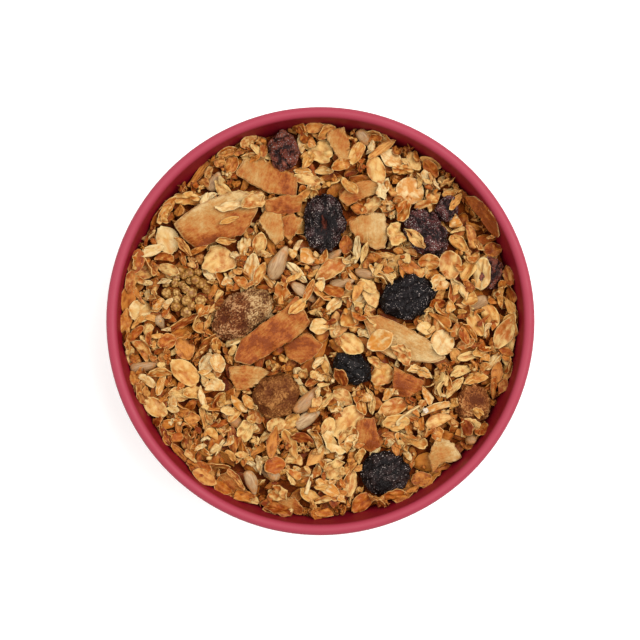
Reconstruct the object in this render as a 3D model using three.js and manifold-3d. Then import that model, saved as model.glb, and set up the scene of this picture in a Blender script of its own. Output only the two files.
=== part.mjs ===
// A bowl of granola, in millimetres, +Z up, standing on its foot at z = 0 about the Z axis.
// The bowl is a thick-lipped round bowl. It is filled to a little under its rim with one heap of
// toasted oat flakes, sunflower seeds and puffed grains. Raisins, dried mulberries and coconut
// chips lie sunk in the top of the heap, each as a piece of its own.

import * as THREE from "three";
import { mergeVertices } from "three/addons/utils/BufferGeometryUtils.js";
import Module from "manifold-3d";

const wasm = await Module();
wasm.setup();

// ---- Driving dimensions ----

const RIM_RADIUS = 60;
const BOWL_HEIGHT = 56;
const WALL = 3.1;
const FLOOR = 4;
const FOOT_RADIUS = 27;
const FOOT_WIDTH = 3.6;
const FOOT_RECESS = 2.5;
const FOOT_EDGE = 0.5;
const LEAN = THREE.MathUtils.degToRad(5);
const ROUNDNESS = 2.6;
const BOWL_SIDES = 40;

const FILL_DEPTH = 8.2;
const FILL_DOME = 0.7;
const FILL_BUMP = 0.35;
const CORE_UNDER_FILL = 1.1;
const CORE_SIDES = 24;
const CLEARANCE = 0.35;
const WALL_GAP = CLEARANCE + RIM_RADIUS * (1 - Math.cos(Math.PI / BOWL_SIDES));

const FLAKE_COUNT = 124;
const KERNEL_COUNT = 20;
const RANDOM_SEED = 20;

// ---- The bowl's inside and outside as radii at a depth under the rim ----

function bowlRadius(atRim, depth, fullDepth) {
  const share = Math.min(depth / fullDepth, 1);
  const leaning = atRim - depth * Math.tan(LEAN);
  return leaning * (1 - share ** ROUNDNESS) ** (1 / ROUNDNESS);
}

const INNER_DEPTH = BOWL_HEIGHT - FOOT_RECESS - FLOOR;
const OUTER_DEPTH = BOWL_HEIGHT - FOOT_RECESS;
const innerRadius = (depth) => bowlRadius(RIM_RADIUS - WALL, depth, INNER_DEPTH);
const outerRadius = (depth) => bowlRadius(RIM_RADIUS, depth, OUTER_DEPTH);

// A point on the inside at a depth, moved off the surface towards the middle by a gap.
function insidePoint(depth, gap = 0) {
  const height = BOWL_HEIGHT - depth;
  if (depth >= INNER_DEPTH) return [0, height + gap];
  const step = 0.01;
  const slope = (innerRadius(depth) - innerRadius(depth - step)) / step;
  const length = Math.hypot(1, slope);
  return [innerRadius(depth) - gap / length, height - (gap * slope) / length];
}

// The depths at which the inside has its rings, closer together towards the floor.
const LIP = WALL / 2;
const INSIDE_STEPS = 7;
const INSIDE_DEPTHS = Array.from({ length: INSIDE_STEPS }, (_, i) => {
  const share = Math.sin(((i + 1) / INSIDE_STEPS) * (Math.PI / 2));
  return LIP + (INNER_DEPTH - LIP) * share;
});

// The depth under the rim at which the outside is as wide as the foot.
function depthAtFoot() {
  let depth = OUTER_DEPTH;
  while (outerRadius(depth) < FOOT_RADIUS + FOOT_EDGE) depth -= 0.05;
  return depth;
}

// ---- Meshes and solids ----

function geometryFrom(vertices, triangles) {
  const geometry = new THREE.BufferGeometry();
  geometry.setAttribute("position", new THREE.Float32BufferAttribute(vertices, 3));
  geometry.setIndex(triangles);
  return geometry;
}

function solidFrom(geometry) {
  const bare = geometry.clone();
  bare.deleteAttribute("normal");
  bare.deleteAttribute("uv");
  const merged = mergeVertices(bare, 1e-4);
  const index = merged.index.array;
  const kept = [];
  for (let i = 0; i < index.length; i += 3) {
    const [a, b, c] = index.subarray(i, i + 3);
    if (a !== b && b !== c && a !== c) kept.push(a, b, c);
  }
  const mesh = new wasm.Mesh({
    numProp: 3,
    vertProperties: merged.attributes.position.array,
    triVerts: new Uint32Array(kept),
  });
  return new wasm.Manifold(mesh);
}

function geometryOf(solid) {
  const mesh = solid.getMesh();
  const geometry = new THREE.BufferGeometry();
  geometry.setAttribute("position", new THREE.BufferAttribute(new Float32Array(mesh.vertProperties), 3));
  geometry.setIndex(new THREE.BufferAttribute(new Uint32Array(mesh.triVerts), 1));
  return geometry;
}

function revolve(profile, sides) {
  const geometry = new THREE.LatheGeometry(
    profile.map(([radius, z]) => new THREE.Vector2(radius, z)),
    sides,
  );
  return geometry.rotateX(Math.PI / 2);
}

// A shell of two like faces: middle(u, v) gives a point of the middle surface, u and v from 0 to 1.
function thinSheet(middle, across, along, thickness) {
  const vertices = [];
  const triangles = [];
  const row = along + 1;
  const face = (across + 1) * row;
  const step = 1e-3;
  for (const side of [0.5, -0.5]) {
    for (let i = 0; i <= across; i++) {
      for (let j = 0; j <= along; j++) {
        const u = i / across;
        const v = j / along;
        const point = middle(u, v);
        const alongU = middle(u + step, v).sub(point);
        const alongV = middle(u, v + step).sub(point);
        const normal = alongU.cross(alongV).normalize();
        point.addScaledVector(normal, side * thickness);
        vertices.push(...point.toArray());
      }
    }
  }
  for (let i = 0; i < across; i++) {
    for (let j = 0; j < along; j++) {
      const a = i * row + j;
      const b = a + row;
      triangles.push(a, b, b + 1, a, b + 1, a + 1);
      triangles.push(face + a, face + b + 1, face + b, face + a, face + a + 1, face + b + 1);
    }
  }
  const edge = [];
  for (let i = 0; i < across; i++) edge.push(i * row);
  for (let j = 0; j < along; j++) edge.push(across * row + j);
  for (let i = across; i > 0; i--) edge.push(i * row + along);
  for (let j = along; j > 0; j--) edge.push(j);
  edge.forEach((a, k) => {
    const b = edge[(k + 1) % edge.length];
    triangles.push(a, face + b, b, a, face + a, face + b);
  });
  return geometryFrom(vertices, triangles);
}

function seededRandom(seed) {
  let state = seed;
  return () => {
    state = (Math.imul(state, 1664525) + 1013904223) >>> 0;
    return state / 2 ** 32;
  };
}

// ---- The bowl: a foot ring, a rounded outside, a full round lip and a smooth inside ----

function bowlProfile() {
  const profile = [
    [0, FOOT_RECESS],
    [FOOT_RADIUS - FOOT_WIDTH - FOOT_EDGE, FOOT_RECESS],
    [FOOT_RADIUS - FOOT_WIDTH, 0],
    [FOOT_RADIUS - FOOT_EDGE, 0],
    [FOOT_RADIUS, FOOT_EDGE],
  ];
  const footDepth = depthAtFoot();
  const outsideSteps = 7;
  for (let i = 0; i < outsideSteps; i++) {
    const depth = LIP + (footDepth - LIP) * Math.cos((i / outsideSteps) * (Math.PI / 2)) ** 1.4;
    profile.push([outerRadius(depth), BOWL_HEIGHT - depth]);
  }
  const lipSteps = 6;
  for (let i = 0; i <= lipSteps; i++) {
    const angle = (i / lipSteps) * Math.PI;
    profile.push([RIM_RADIUS - LIP + LIP * Math.cos(angle), BOWL_HEIGHT - LIP + LIP * Math.sin(angle)]);
  }
  for (const depth of INSIDE_DEPTHS) profile.push(insidePoint(depth));
  return profile;
}

// ---- The toppings, each made about the origin with its long side along X ----

// A coconut chip is a thin shaving of the nut: longer than wide, narrower at one end, and curled
// about its own length. grow makes it larger all round, for the hollow that it lies in.
function coconutChip({ length, width, taper = 0.75, curl = 26, bow = 0.5, phase = 0 }, grow = 0) {
  const thickness = 0.9;
  const fullLength = length + 2 * grow;
  const middle = (u, v) => {
    const x = (u - 0.5) * fullLength;
    const narrowing = 1 - (1 - taper) * u;
    const wave = 1 + 0.07 * Math.sin(9 * u + phase);
    const y = (v - 0.5) * (width * narrowing * wave + 2 * grow);
    const skew = 0.18 * y * Math.sin(phase + 1);
    const z = -(y * y) / (2 * curl) + bow * Math.sin(Math.PI * u + 0.5 * Math.sin(phase));
    return new THREE.Vector3(x + skew, y, z - bow / 2);
  };
  return thinSheet(middle, grow ? 4 : 5, grow ? 2 : 3, thickness + 2 * grow);
}

// A raisin is a shrunken oval with a few deep lengthwise folds.
function raisin({ length, width, height, phase = 0 }, grow = 0) {
  const geometry = new THREE.IcosahedronGeometry(1, grow ? 1 : 2);
  const at = geometry.attributes.position;
  const point = new THREE.Vector3();
  for (let i = 0; i < at.count; i++) {
    point.fromBufferAttribute(at, i);
    const around = Math.atan2(point.z, point.y);
    const deepFolds = Math.sin(4 * around + 2.2 * point.x + phase);
    const fineFolds = Math.sin(7 * around - 3 * point.x + phase);
    const relief = (0.055 * deepFolds + 0.035 * fineFolds) * (1 - point.x ** 4);
    const size = grow ? 1.12 : 1 + relief;
    point.multiply(new THREE.Vector3(length / 2 + grow, width / 2 + grow, height / 2 + grow));
    point.multiplyScalar(size);
    at.setXYZ(i, point.x, point.y, point.z);
  }
  return geometry;
}

// A dried mulberry is an oval packed with small round drupelets.
function mulberry({ length, width, height, phase = 0 }, grow = 0) {
  const drupelets = 34;
  const reach = 0.42;
  const centres = [];
  for (let k = 0; k < drupelets; k++) {
    const x = 1 - (2 * (k + 0.5)) / drupelets;
    const ring = Math.sqrt(1 - x * x);
    const around = k * 2.39996 + phase;
    centres.push(new THREE.Vector3(x, ring * Math.cos(around), ring * Math.sin(around)));
  }
  const geometry = new THREE.IcosahedronGeometry(1, grow ? 1 : 3);
  const at = geometry.attributes.position;
  const point = new THREE.Vector3();
  for (let i = 0; i < at.count; i++) {
    point.fromBufferAttribute(at, i);
    const nearest = Math.min(...centres.map((c) => c.distanceTo(point)));
    const bump = Math.max(0, 1 - (nearest / reach) ** 2);
    const size = grow ? 1.05 : 0.86 + 0.14 * bump;
    point.multiply(new THREE.Vector3(length / 2 + grow, width / 2 + grow, height / 2 + grow));
    point.multiplyScalar(size);
    at.setXYZ(i, point.x, point.y, point.z);
  }
  return geometry;
}

// Where each topping lies: x and y of its middle, its turn about Z in degrees, and lift, the height
// of its middle over the heap's mean surface. roll tips it about its length, pitch lifts its far end.
const RAISINS = [
  { x: -10.2, y: 48.4, turn: 100, length: 12, width: 8.2, height: 7.2 },
  { x: 1.0, y: 28.1, turn: 88, length: 17.2, width: 11.8, height: 7.6, lift: -0.9 },
  { x: 30.2, y: 25.2, turn: -50, length: 15.8, width: 10.6, height: 7.4, lift: -0.8 },
  { x: 24.6, y: 6.8, turn: 22, length: 16.2, width: 11.6, height: 7.4, lift: -0.8 },
  { x: 48.8, y: 13.5, turn: 75, length: 9, width: 7, height: 6.6 },
  { x: 36.4, y: 31.8, turn: 60, length: 7.6, width: 5.6, height: 5.6, lift: -1.4 },
  { x: 9.0, y: -13.4, turn: -25, length: 11, width: 8.6, height: 6.6, lift: -1.1 },
  { x: 18.3, y: -43.7, turn: 6, length: 14.4, width: 12, height: 7.6, lift: -0.9 },
];
const MULBERRIES = [
  { x: -22.2, y: 2.0, turn: 36, length: 20.5, width: 12, height: 8, lift: -1 },
  { x: -12.6, y: -21.2, turn: 20, length: 14.4, width: 13, height: 8, lift: -1 },
  { x: 43.4, y: -23.6, turn: 70, length: 11.6, width: 10.6, height: 7, lift: -0.9 },
];
const CHIPS = [
  { x: -15.2, y: 39.6, turn: -17, length: 18.5, width: 7.6, taper: 0.85, roll: -8 },
  { x: -28.4, y: 27.8, turn: 25, length: 24, width: 11, taper: 0.7, curl: 22, roll: 6, lift: 1.3 },
  { x: -10.8, y: 33.2, turn: 4, length: 11.5, width: 5, lift: 0.2, roll: 14 },
  { x: -13.4, y: 24.2, turn: -70, length: 8.6, width: 6, taper: 0.6, lift: -0.4 },
  { x: -7.5, y: 26.6, turn: 78, length: 7.6, width: 4.6, roll: -20, lift: 0.3 },
  { x: -12.6, y: -4.4, turn: 35, length: 22.5, width: 8.8, taper: 0.9, curl: 16, lift: 0.9, roll: 6 },
  { x: -3.6, y: -8.4, turn: 22, length: 11.5, width: 7, lift: -0.6, roll: -12 },
  { x: -22.9, y: -15.6, turn: -4, length: 10.6, width: 6.8, taper: 0.45, lift: 0.2, roll: 8 },
  { x: 14.4, y: 25.2, turn: 4, length: 11, width: 10.4, taper: 0.95, curl: 14, lift: 0.8 },
  { x: 11.3, y: 36.8, turn: 14, length: 12.5, width: 6, lift: 0.2, roll: -10 },
  { x: 45.0, y: 28.0, turn: 121.5, length: 12.6, width: 5.6, curl: -14, roll: -52, lift: 0.6 },
  { x: 24.4, y: -7.6, turn: -27, length: 21.5, width: 9, taper: 0.85, curl: 24, lift: 0.2, roll: 6 },
  { x: 25.2, y: -17.2, turn: -18, length: 10, width: 6.8, curl: 10, lift: -0.3, roll: 12 },
  { x: 14.0, y: -32.0, turn: 104, length: 9.8, width: 6.6, curl: 9, lift: 0.5, roll: -10 },
  { x: 33.8, y: -36.8, turn: 12, length: 13.4, width: 7.4, taper: 0.55, lift: 0.7, pitch: 6 },
  { x: -21.8, y: -45.4, turn: -24, length: 12.6, width: 7, taper: 0.7, curl: 12, lift: 0.3, roll: 14 },
  { x: -8.2, y: -50.4, turn: -32, length: 9.4, width: 5.6, taper: 0.6, lift: 0.2, roll: 16 },
  { x: 5.6, y: 47.6, turn: 100, length: 12.4, width: 6.2, taper: 0.6, lift: 0.8, roll: 12 },
];

// ---- The heap's own surface ----

const FILL_RADIUS = innerRadius(FILL_DEPTH);

function heapTop(x, y) {
  const share = Math.hypot(x, y) / FILL_RADIUS;
  const bumps = Math.sin(x / 7.3 + 1.1) * Math.cos(y / 8.1 - 0.4) + 0.6 * Math.sin((x + y) / 4.9);
  return BOWL_HEIGHT - FILL_DEPTH + FILL_DOME * (1 - share ** 2) + FILL_BUMP * bumps;
}

function placement({ x, y, turn = 0, roll = 0, pitch = 0, lift = -0.8 }) {
  const angles = [roll, -pitch, turn].map(THREE.MathUtils.degToRad);
  const matrix = new THREE.Matrix4().makeRotationFromEuler(new THREE.Euler(...angles, "ZYX"));
  return matrix.setPosition(x, y, heapTop(x, y) + lift);
}

const TOPPINGS = [
  ...RAISINS.map((place, i) => ({ kind: "raisin", make: raisin, place, number: i + 1 })),
  ...MULBERRIES.map((place, i) => ({ kind: "mulberry", make: mulberry, place, number: i + 1 })),
  ...CHIPS.map((place, i) => ({ kind: "coconut_chip", make: coconutChip, place, number: i + 1 })),
].map((topping) => {
  const shape = { ...topping.place, phase: topping.number * 1.7 };
  const matrix = placement(topping.place);
  return {
    ...topping,
    name: `${topping.kind}_${String(topping.number).padStart(2, "0")}`,
    geometry: topping.make(shape).applyMatrix4(matrix),
    hollow: topping.make(shape, CLEARANCE).applyMatrix4(matrix),
  };
});

// The core of the heap fills the bowl from its floor to a little under the heap's surface.
function heapCore() {
  const topDepth = FILL_DEPTH + CORE_UNDER_FILL;
  const depths = [topDepth, ...INSIDE_DEPTHS.filter((depth) => depth > topDepth)].reverse();
  const profile = depths.map((depth) => insidePoint(depth, WALL_GAP));
  for (const share of [0.84, 0.6, 0.34, 0]) profile.push([FILL_RADIUS * share, BOWL_HEIGHT]);
  const geometry = revolve(profile, CORE_SIDES);
  const at = geometry.attributes.position;
  for (let i = 0; i < at.count; i++) {
    if (at.getZ(i) > BOWL_HEIGHT - 0.01) at.setZ(i, heapTop(at.getX(i), at.getY(i)) - CORE_UNDER_FILL);
  }
  return solidFrom(geometry);
}

// ---- Small pieces that are fused to the core ----

// A rolled oat flake: a flat oval with six sides, dished in the middle.
function oatFlake(length, width, dish, random) {
  const sides = 6;
  const thickness = 0.85;
  const vertices = [];
  const triangles = [];
  for (const z of [thickness / 2, -thickness / 2]) {
    for (let k = 0; k < sides; k++) {
      const angle = (2 * Math.PI * (k + 0.3 * Math.sin(3 * k + length))) / sides;
      vertices.push((length / 2) * Math.cos(angle), (width / 2) * Math.sin(angle), z);
    }
  }
  const offset = 0.3 * (random() - 0.5) * width;
  vertices.push(offset, 0, thickness / 2 - dish, offset, 0, -thickness / 2 - dish);
  for (let k = 0; k < sides; k++) {
    const next = (k + 1) % sides;
    triangles.push(2 * sides, k, next, 2 * sides + 1, sides + next, sides + k);
    triangles.push(k, sides + k, sides + next, k, sides + next, next);
  }
  return geometryFrom(vertices, triangles);
}

// A sunflower kernel: a five-sided drop, blunt at one end and pointed at the other.
function sunflowerKernel(length) {
  const sides = 5;
  const vertices = [-length / 2, 0, 0];
  const triangles = [];
  for (const [x, size] of [[-0.28, 1], [0.2, 0.8]]) {
    for (let k = 0; k < sides; k++) {
      const angle = (2 * Math.PI * k) / sides;
      const y = 0.21 * length * size * Math.cos(angle);
      vertices.push(x * length, y, 0.13 * length * size * Math.sin(angle));
    }
  }
  vertices.push(length / 2, 0, 0);
  const last = 2 * sides + 1;
  for (let k = 0; k < sides; k++) {
    const next = (k + 1) % sides;
    triangles.push(0, 1 + next, 1 + k, last, 1 + sides + k, 1 + sides + next);
    triangles.push(1 + k, 1 + next, 1 + sides + next, 1 + k, 1 + sides + next, 1 + sides + k);
  }
  return geometryFrom(vertices, triangles);
}

// How far inside the bowl's wall a geometry's furthest vertex is, and negative past the gap.
function roomAtWall(geometry) {
  const at = geometry.attributes.position;
  let room = Infinity;
  for (let i = 0; i < at.count; i++) {
    const inside = innerRadius(BOWL_HEIGHT - at.getZ(i));
    room = Math.min(room, inside - WALL_GAP - Math.hypot(at.getX(i), at.getY(i)));
  }
  return room;
}

function onTopping(x, y, margin) {
  return TOPPINGS.some(({ place }) => {
    const turn = THREE.MathUtils.degToRad(place.turn);
    const dx = x - place.x;
    const dy = y - place.y;
    const along = dx * Math.cos(turn) + dy * Math.sin(turn);
    const across = dy * Math.cos(turn) - dx * Math.sin(turn);
    return Math.hypot(along / (place.length / 2 + margin), across / (place.width / 2 + margin)) < 1;
  });
}

// Tips and turns a small piece, presses its low edge into the core at x, y, and keeps it off the wall.
function settle(geometry, x, y, pressed, tilt, random) {
  const tipAxis = 2 * Math.PI * random();
  const tip = new THREE.Vector3(Math.cos(tipAxis), Math.sin(tipAxis), 0);
  geometry.rotateZ(2 * Math.PI * random());
  geometry.applyMatrix4(new THREE.Matrix4().makeRotationAxis(tip, tilt));
  geometry.computeBoundingBox();
  geometry.translate(x, y, heapTop(x, y) - CORE_UNDER_FILL - pressed - geometry.boundingBox.min.z);
  const room = roomAtWall(geometry);
  if (room < 0) {
    const radius = Math.hypot(x, y);
    geometry.translate((x / radius) * room, (y / radius) * room, 0);
  }
  return geometry;
}

const GOLDEN_ANGLE = Math.PI * (3 - Math.sqrt(5));

function scattered(count, random, make) {
  const made = [];
  for (let i = 0; i < count; i++) {
    const radius = (FILL_RADIUS - 2.5) * Math.sqrt((i + 0.5) / count);
    const angle = i * GOLDEN_ANGLE + 0.25 * random();
    const piece = make(radius * Math.cos(angle), radius * Math.sin(angle));
    if (piece) made.push(piece);
  }
  return made;
}

function flakes(random) {
  return scattered(FLAKE_COUNT, random, (x, y) => {
    const length = 7.2 + 2.8 * random();
    const flake = oatFlake(length, length * (0.6 + 0.16 * random()), 0.25 + 0.3 * random(), random);
    const tilt = THREE.MathUtils.degToRad(5 + 17 * random());
    if (onTopping(x, y, 1.2)) return null;
    return settle(flake, x, y, 0.5, tilt, random);
  });
}

function kernels(random) {
  return scattered(KERNEL_COUNT, random, (x, y) => {
    const kernel = sunflowerKernel(8.6 + 1.6 * random());
    const tilt = THREE.MathUtils.degToRad(16 * random());
    if (onTopping(x, y, 2)) return null;
    return settle(kernel, x, y, 0.6, tilt, random);
  });
}

// A clump of puffed grains: small balls stuck together in a low pile.
const PUFFED_CLUMP = { x: -38.5, y: 9.2, radius: 6.2, count: 16, grain: 1.35 };

function puffedGrains() {
  const { x, y, radius, count, grain } = PUFFED_CLUMP;
  return Array.from({ length: count }, (_, i) => {
    const share = Math.sqrt((i + 0.5) / count);
    const angle = i * GOLDEN_ANGLE;
    const px = x + radius * share * Math.cos(angle);
    const py = y + radius * share * Math.sin(angle);
    const z = heapTop(px, py) + grain * (1 - share);
    return new THREE.IcosahedronGeometry(grain, 0).translate(px, py, z);
  });
}

function heap() {
  const random = seededRandom(RANDOM_SEED);
  const pieces = [...flakes(random), ...kernels(random), ...puffedGrains()];
  const whole = wasm.Manifold.union([heapCore(), ...pieces.map(solidFrom)]);
  const hollows = wasm.Manifold.union(TOPPINGS.map(({ hollow }) => solidFrom(hollow)));
  const bodies = whole.subtract(hollows).decompose();
  const largest = bodies.reduce((a, b) => (a.volume() > b.volume() ? a : b));
  return geometryOf(largest);
}

// ---- Materials and the finished group ----

const colour = (r, g, b) => new THREE.Color().setRGB(r / 255, g / 255, b / 255, THREE.SRGBColorSpace);
const MATERIALS = {
  bowl: new THREE.MeshStandardMaterial({ color: colour(190, 52, 74), roughness: 0.32, metalness: 0 }),
  granola: new THREE.MeshStandardMaterial({ color: colour(205, 146, 84), roughness: 0.7, metalness: 0 }),
  raisin: new THREE.MeshStandardMaterial({ color: colour(48, 30, 34), roughness: 0.5, metalness: 0 }),
  mulberry: new THREE.MeshStandardMaterial({ color: colour(134, 92, 60), roughness: 0.8, metalness: 0 }),
  coconut_chip: new THREE.MeshStandardMaterial({ color: colour(214, 146, 82), roughness: 0.5, metalness: 0 }),
};

const bowlOfGranola = new THREE.Group();

function addPiece(name, geometry, material) {
  const mesh = new THREE.Mesh(geometry, material);
  mesh.name = name;
  bowlOfGranola.add(mesh);
}

addPiece("bowl", revolve(bowlProfile(), BOWL_SIDES), MATERIALS.bowl);
addPiece("granola", heap(), MATERIALS.granola);
for (const { name, kind, geometry } of TOPPINGS) addPiece(name, geometry, MATERIALS[kind]);

export default bowlOfGranola;
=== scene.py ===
import math
import random

import bpy
import numpy as np
from mathutils import Matrix, Vector, noise
from mathutils.bvhtree import BVHTree


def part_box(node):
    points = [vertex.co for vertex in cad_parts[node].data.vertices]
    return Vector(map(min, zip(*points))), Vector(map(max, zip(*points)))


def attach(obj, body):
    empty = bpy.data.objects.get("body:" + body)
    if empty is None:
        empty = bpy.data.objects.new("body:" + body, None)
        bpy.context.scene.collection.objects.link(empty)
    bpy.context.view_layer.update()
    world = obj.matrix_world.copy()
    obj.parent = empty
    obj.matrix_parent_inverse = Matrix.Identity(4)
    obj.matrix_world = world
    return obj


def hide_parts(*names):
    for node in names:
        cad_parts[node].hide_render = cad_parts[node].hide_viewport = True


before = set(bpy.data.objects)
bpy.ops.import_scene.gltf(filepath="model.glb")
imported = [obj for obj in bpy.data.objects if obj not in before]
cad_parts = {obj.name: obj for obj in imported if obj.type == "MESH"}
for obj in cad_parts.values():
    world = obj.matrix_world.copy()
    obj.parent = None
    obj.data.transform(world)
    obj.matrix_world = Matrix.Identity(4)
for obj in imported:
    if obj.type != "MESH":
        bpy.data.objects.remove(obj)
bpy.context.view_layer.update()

# ---- Bowl ---------------------------------------------------------------------------------------
# A round bowl with one thick wall, a full round lip and a low foot ring. It is stoneware, dipped in
# a crimson glaze that is a little thinner on the lip, and bare under the foot ring. The lip is painted
# paler, partly for the thinner glaze and partly as a painted sheen of the light on it.

MM = 0.001
BOWL_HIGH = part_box("bowl")[1]
RIM_RADIUS = BOWL_HIGH.x
RIM_HEIGHT = BOWL_HIGH.z
WALL = 3.1 * MM
FLOOR = 4 * MM
FOOT_RADIUS = 27 * MM
FOOT_WIDTH = 3.6 * MM
FOOT_RECESS = 2.5 * MM
LIP = WALL / 2
LEAN = math.tan(math.radians(5))
ROUNDNESS = 2.6
INNER_DEPTH = RIM_HEIGHT - FOOT_RECESS - FLOOR
OUTER_DEPTH = RIM_HEIGHT - FOOT_RECESS


def wall_radius(at_rim, depth, full_depth):
    """The radius of the inside or the outside at a depth under the rim."""
    share = min(depth / full_depth, 1)
    return (at_rim - depth * LEAN) * (1 - share**ROUNDNESS) ** (1 / ROUNDNESS)


def inner_radius(depth):
    return wall_radius(RIM_RADIUS - WALL, depth, INNER_DEPTH)


def outer_radius(depth):
    return wall_radius(RIM_RADIUS, depth, OUTER_DEPTH)


def begin(operator, **settings):
    """Adds one primitive with nothing else selected, and returns its object."""
    bpy.ops.object.select_all(action="DESELECT")
    operator(**settings)
    return bpy.context.object


def turned(name, rings, sides):
    """A round piece pulled up ring by ring, each a radius and a height, and closed at both ends."""
    radius, height = rings[0]
    circle = {"vertices": sides, "radius": radius, "location": (0, 0, height)}
    piece = begin(bpy.ops.mesh.primitive_circle_add, **circle)
    piece.name = name
    bpy.ops.object.transform_apply(location=True, rotation=True, scale=True)
    bpy.ops.object.mode_set(mode="EDIT")
    bpy.ops.mesh.select_all(action="SELECT")
    for next_radius, next_height in rings[1:]:
        lift = {"value": (0, 0, next_height - height)}
        bpy.ops.mesh.extrude_region_move(TRANSFORM_OT_translate=lift)
        scale = next_radius / radius
        bpy.ops.transform.resize(value=(scale, scale, 1), center_override=(0, 0, next_height))
        radius, height = next_radius, next_height
    bpy.ops.mesh.edge_face_add()
    bpy.ops.mesh.poke()
    bpy.ops.object.mode_set(mode="OBJECT")
    for vertex in piece.data.vertices:
        vertex.select = vertex.index < sides
    bpy.ops.object.mode_set(mode="EDIT")
    bpy.ops.mesh.edge_face_add()
    bpy.ops.mesh.poke()
    bpy.ops.mesh.select_all(action="SELECT")
    bpy.ops.mesh.normals_make_consistent(inside=False)
    bpy.ops.object.mode_set(mode="OBJECT")
    bpy.ops.object.shade_smooth()
    return piece


def foot_rings():
    """From the middle of the underside out over the foot ring and up to where the body begins."""
    inside = FOOT_RADIUS - FOOT_WIDTH
    edge = 0.5 * MM
    rings = [(share * inside, FOOT_RECESS) for share in (0.1, 0.45, 0.8, 0.94)]
    rings += [(inside - edge, FOOT_RECESS - 0.2 * MM), (inside - 0.2 * MM, 1.6 * MM), (inside, edge)]
    rings += [(inside + 0.2 * MM, 0.15 * MM), (inside + edge, 0), (FOOT_RADIUS - edge, 0)]
    rings += [(FOOT_RADIUS - 0.15 * MM, 0.15 * MM), (FOOT_RADIUS, edge), (FOOT_RADIUS, 3.6 * MM)]
    rings += [(FOOT_RADIUS + 0.15 * MM, 4.6 * MM), (FOOT_RADIUS + 0.8 * MM, 5.6 * MM)]
    return rings


def body_rings():
    """Up the outside, over the lip and down the inside to the middle of the floor."""
    steps = 26
    lip_steps = 12
    first_depth = 49.2 * MM
    rings = []
    for i in range(steps):
        depth = LIP + (first_depth - LIP) * math.cos(i / steps * math.pi / 2) ** 1.3
        rings.append((outer_radius(depth), RIM_HEIGHT - depth))
    for i in range(lip_steps + 1):
        angle = i / lip_steps * math.pi
        rings.append((RIM_RADIUS - LIP + LIP * math.cos(angle), RIM_HEIGHT - LIP + LIP * math.sin(angle)))
    for i in range(1, steps):
        depth = LIP + (INNER_DEPTH - LIP) * math.sin(i / steps * math.pi / 2)
        rings.append((inner_radius(depth), RIM_HEIGHT - depth))
    return rings


LIGHT_LEVEL = 1.5


def srgb(red, green, blue):
    """A colour as the photograph shows it, 0 to 255, as the linear colour of the surface. The light on
    the bowl is brighter than what makes white paper white, so the surface is darker by as much."""
    shares = (red / 255, green / 255, blue / 255)
    linear = (((s + 0.055) / 1.055) ** 2.4 if s > 0.04 else s / 12.92 for s in shares)
    return (*(s / LIGHT_LEVEL for s in linear), 1.0)


def add(tree, kind, inputs=None, **settings):
    """A shader node with its settings, and its inputs set to values or linked to other nodes' sockets."""
    node = tree.nodes.new(kind)
    for key, value in settings.items():
        setattr(node, key, value)
    for key, value in (inputs or {}).items():
        if isinstance(value, bpy.types.NodeSocket):
            tree.links.new(value, node.inputs[key])
        else:
            node.inputs[key].default_value = value
    return node


def noise_of(tree, vector, scale, detail=3.0, roughness=0.55):
    """Grey noise, scale in features a metre where the vector is in metres."""
    sockets = {"Vector": vector, "Scale": scale, "Detail": detail, "Roughness": roughness}
    return add(tree, "ShaderNodeTexNoise", sockets).outputs["Fac"]


def stretch(tree, value, low, high, to_low=0.0, to_high=1.0):
    """A value moved from one range to another, and held inside it."""
    sockets = {"Value": value, "From Min": low, "From Max": high, "To Min": to_low, "To Max": to_high}
    return add(tree, "ShaderNodeMapRange", sockets, interpolation_type="SMOOTHSTEP").outputs["Result"]


def maths(tree, operation, first, second=0.5, third=0.5):
    return add(tree, "ShaderNodeMath", {0: first, 1: second, 2: third}, operation=operation).outputs[0]


def blend_colour(tree, share, first, second, blend_type="MIX"):
    made = add(tree, "ShaderNodeMix", data_type="RGBA", blend_type=blend_type)
    for socket, value in zip((made.inputs[0], made.inputs[6], made.inputs[7]), (share, first, second)):
        if isinstance(value, bpy.types.NodeSocket):
            tree.links.new(value, socket)
        else:
            socket.default_value = value
    return made.outputs[2]


def lay_over(tree, colour, layer, value, low, high, most=1.0):
    """A colour with another over it, none of it where a value is low and most of it where it is high."""
    return blend_colour(tree, stretch(tree, value, low, high, 0.0, most), colour, layer)


def parts_of(tree, vector):
    return add(tree, "ShaderNodeSeparateXYZ", {0: vector}).outputs


def object_place(tree):
    """Where on the object a point is, in metres."""
    return add(tree, "ShaderNodeTexCoord").outputs["Object"]


def begin_group(name, inputs, outputs):
    """A shader node group, and its inner ends. Its inputs and outputs are given as names with kinds."""
    group = bpy.data.node_groups.new(name, "ShaderNodeTree")
    for label, kind in inputs.items():
        group.interface.new_socket(label, in_out="INPUT", socket_type=f"NodeSocket{kind}")
    for label, kind in outputs.items():
        group.interface.new_socket(label, in_out="OUTPUT", socket_type=f"NodeSocket{kind}")
    return group, group.nodes.new("NodeGroupInput").outputs, group.nodes.new("NodeGroupOutput").inputs


def mottle_group():
    """Soft noise as a mask between two levels, for clouds in a glaze, stains, streaks and specks."""
    levels = ("Scale", "Detail", "Low", "High", "To Low", "To High")
    inputs = {"Vector": "Vector", **dict.fromkeys(levels, "Float")}
    group, given, made = begin_group("mottle", inputs, {"Mask": "Float"})
    sockets = {key: given[key] for key in ("Vector", "Scale", "Detail")}
    cloud = add(group, "ShaderNodeTexNoise", sockets).outputs["Fac"]
    mask = stretch(group, cloud, given["Low"], given["High"], given["To Low"], given["To High"])
    group.links.new(mask, made["Mask"])
    return group


MOTTLE = mottle_group()


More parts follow.
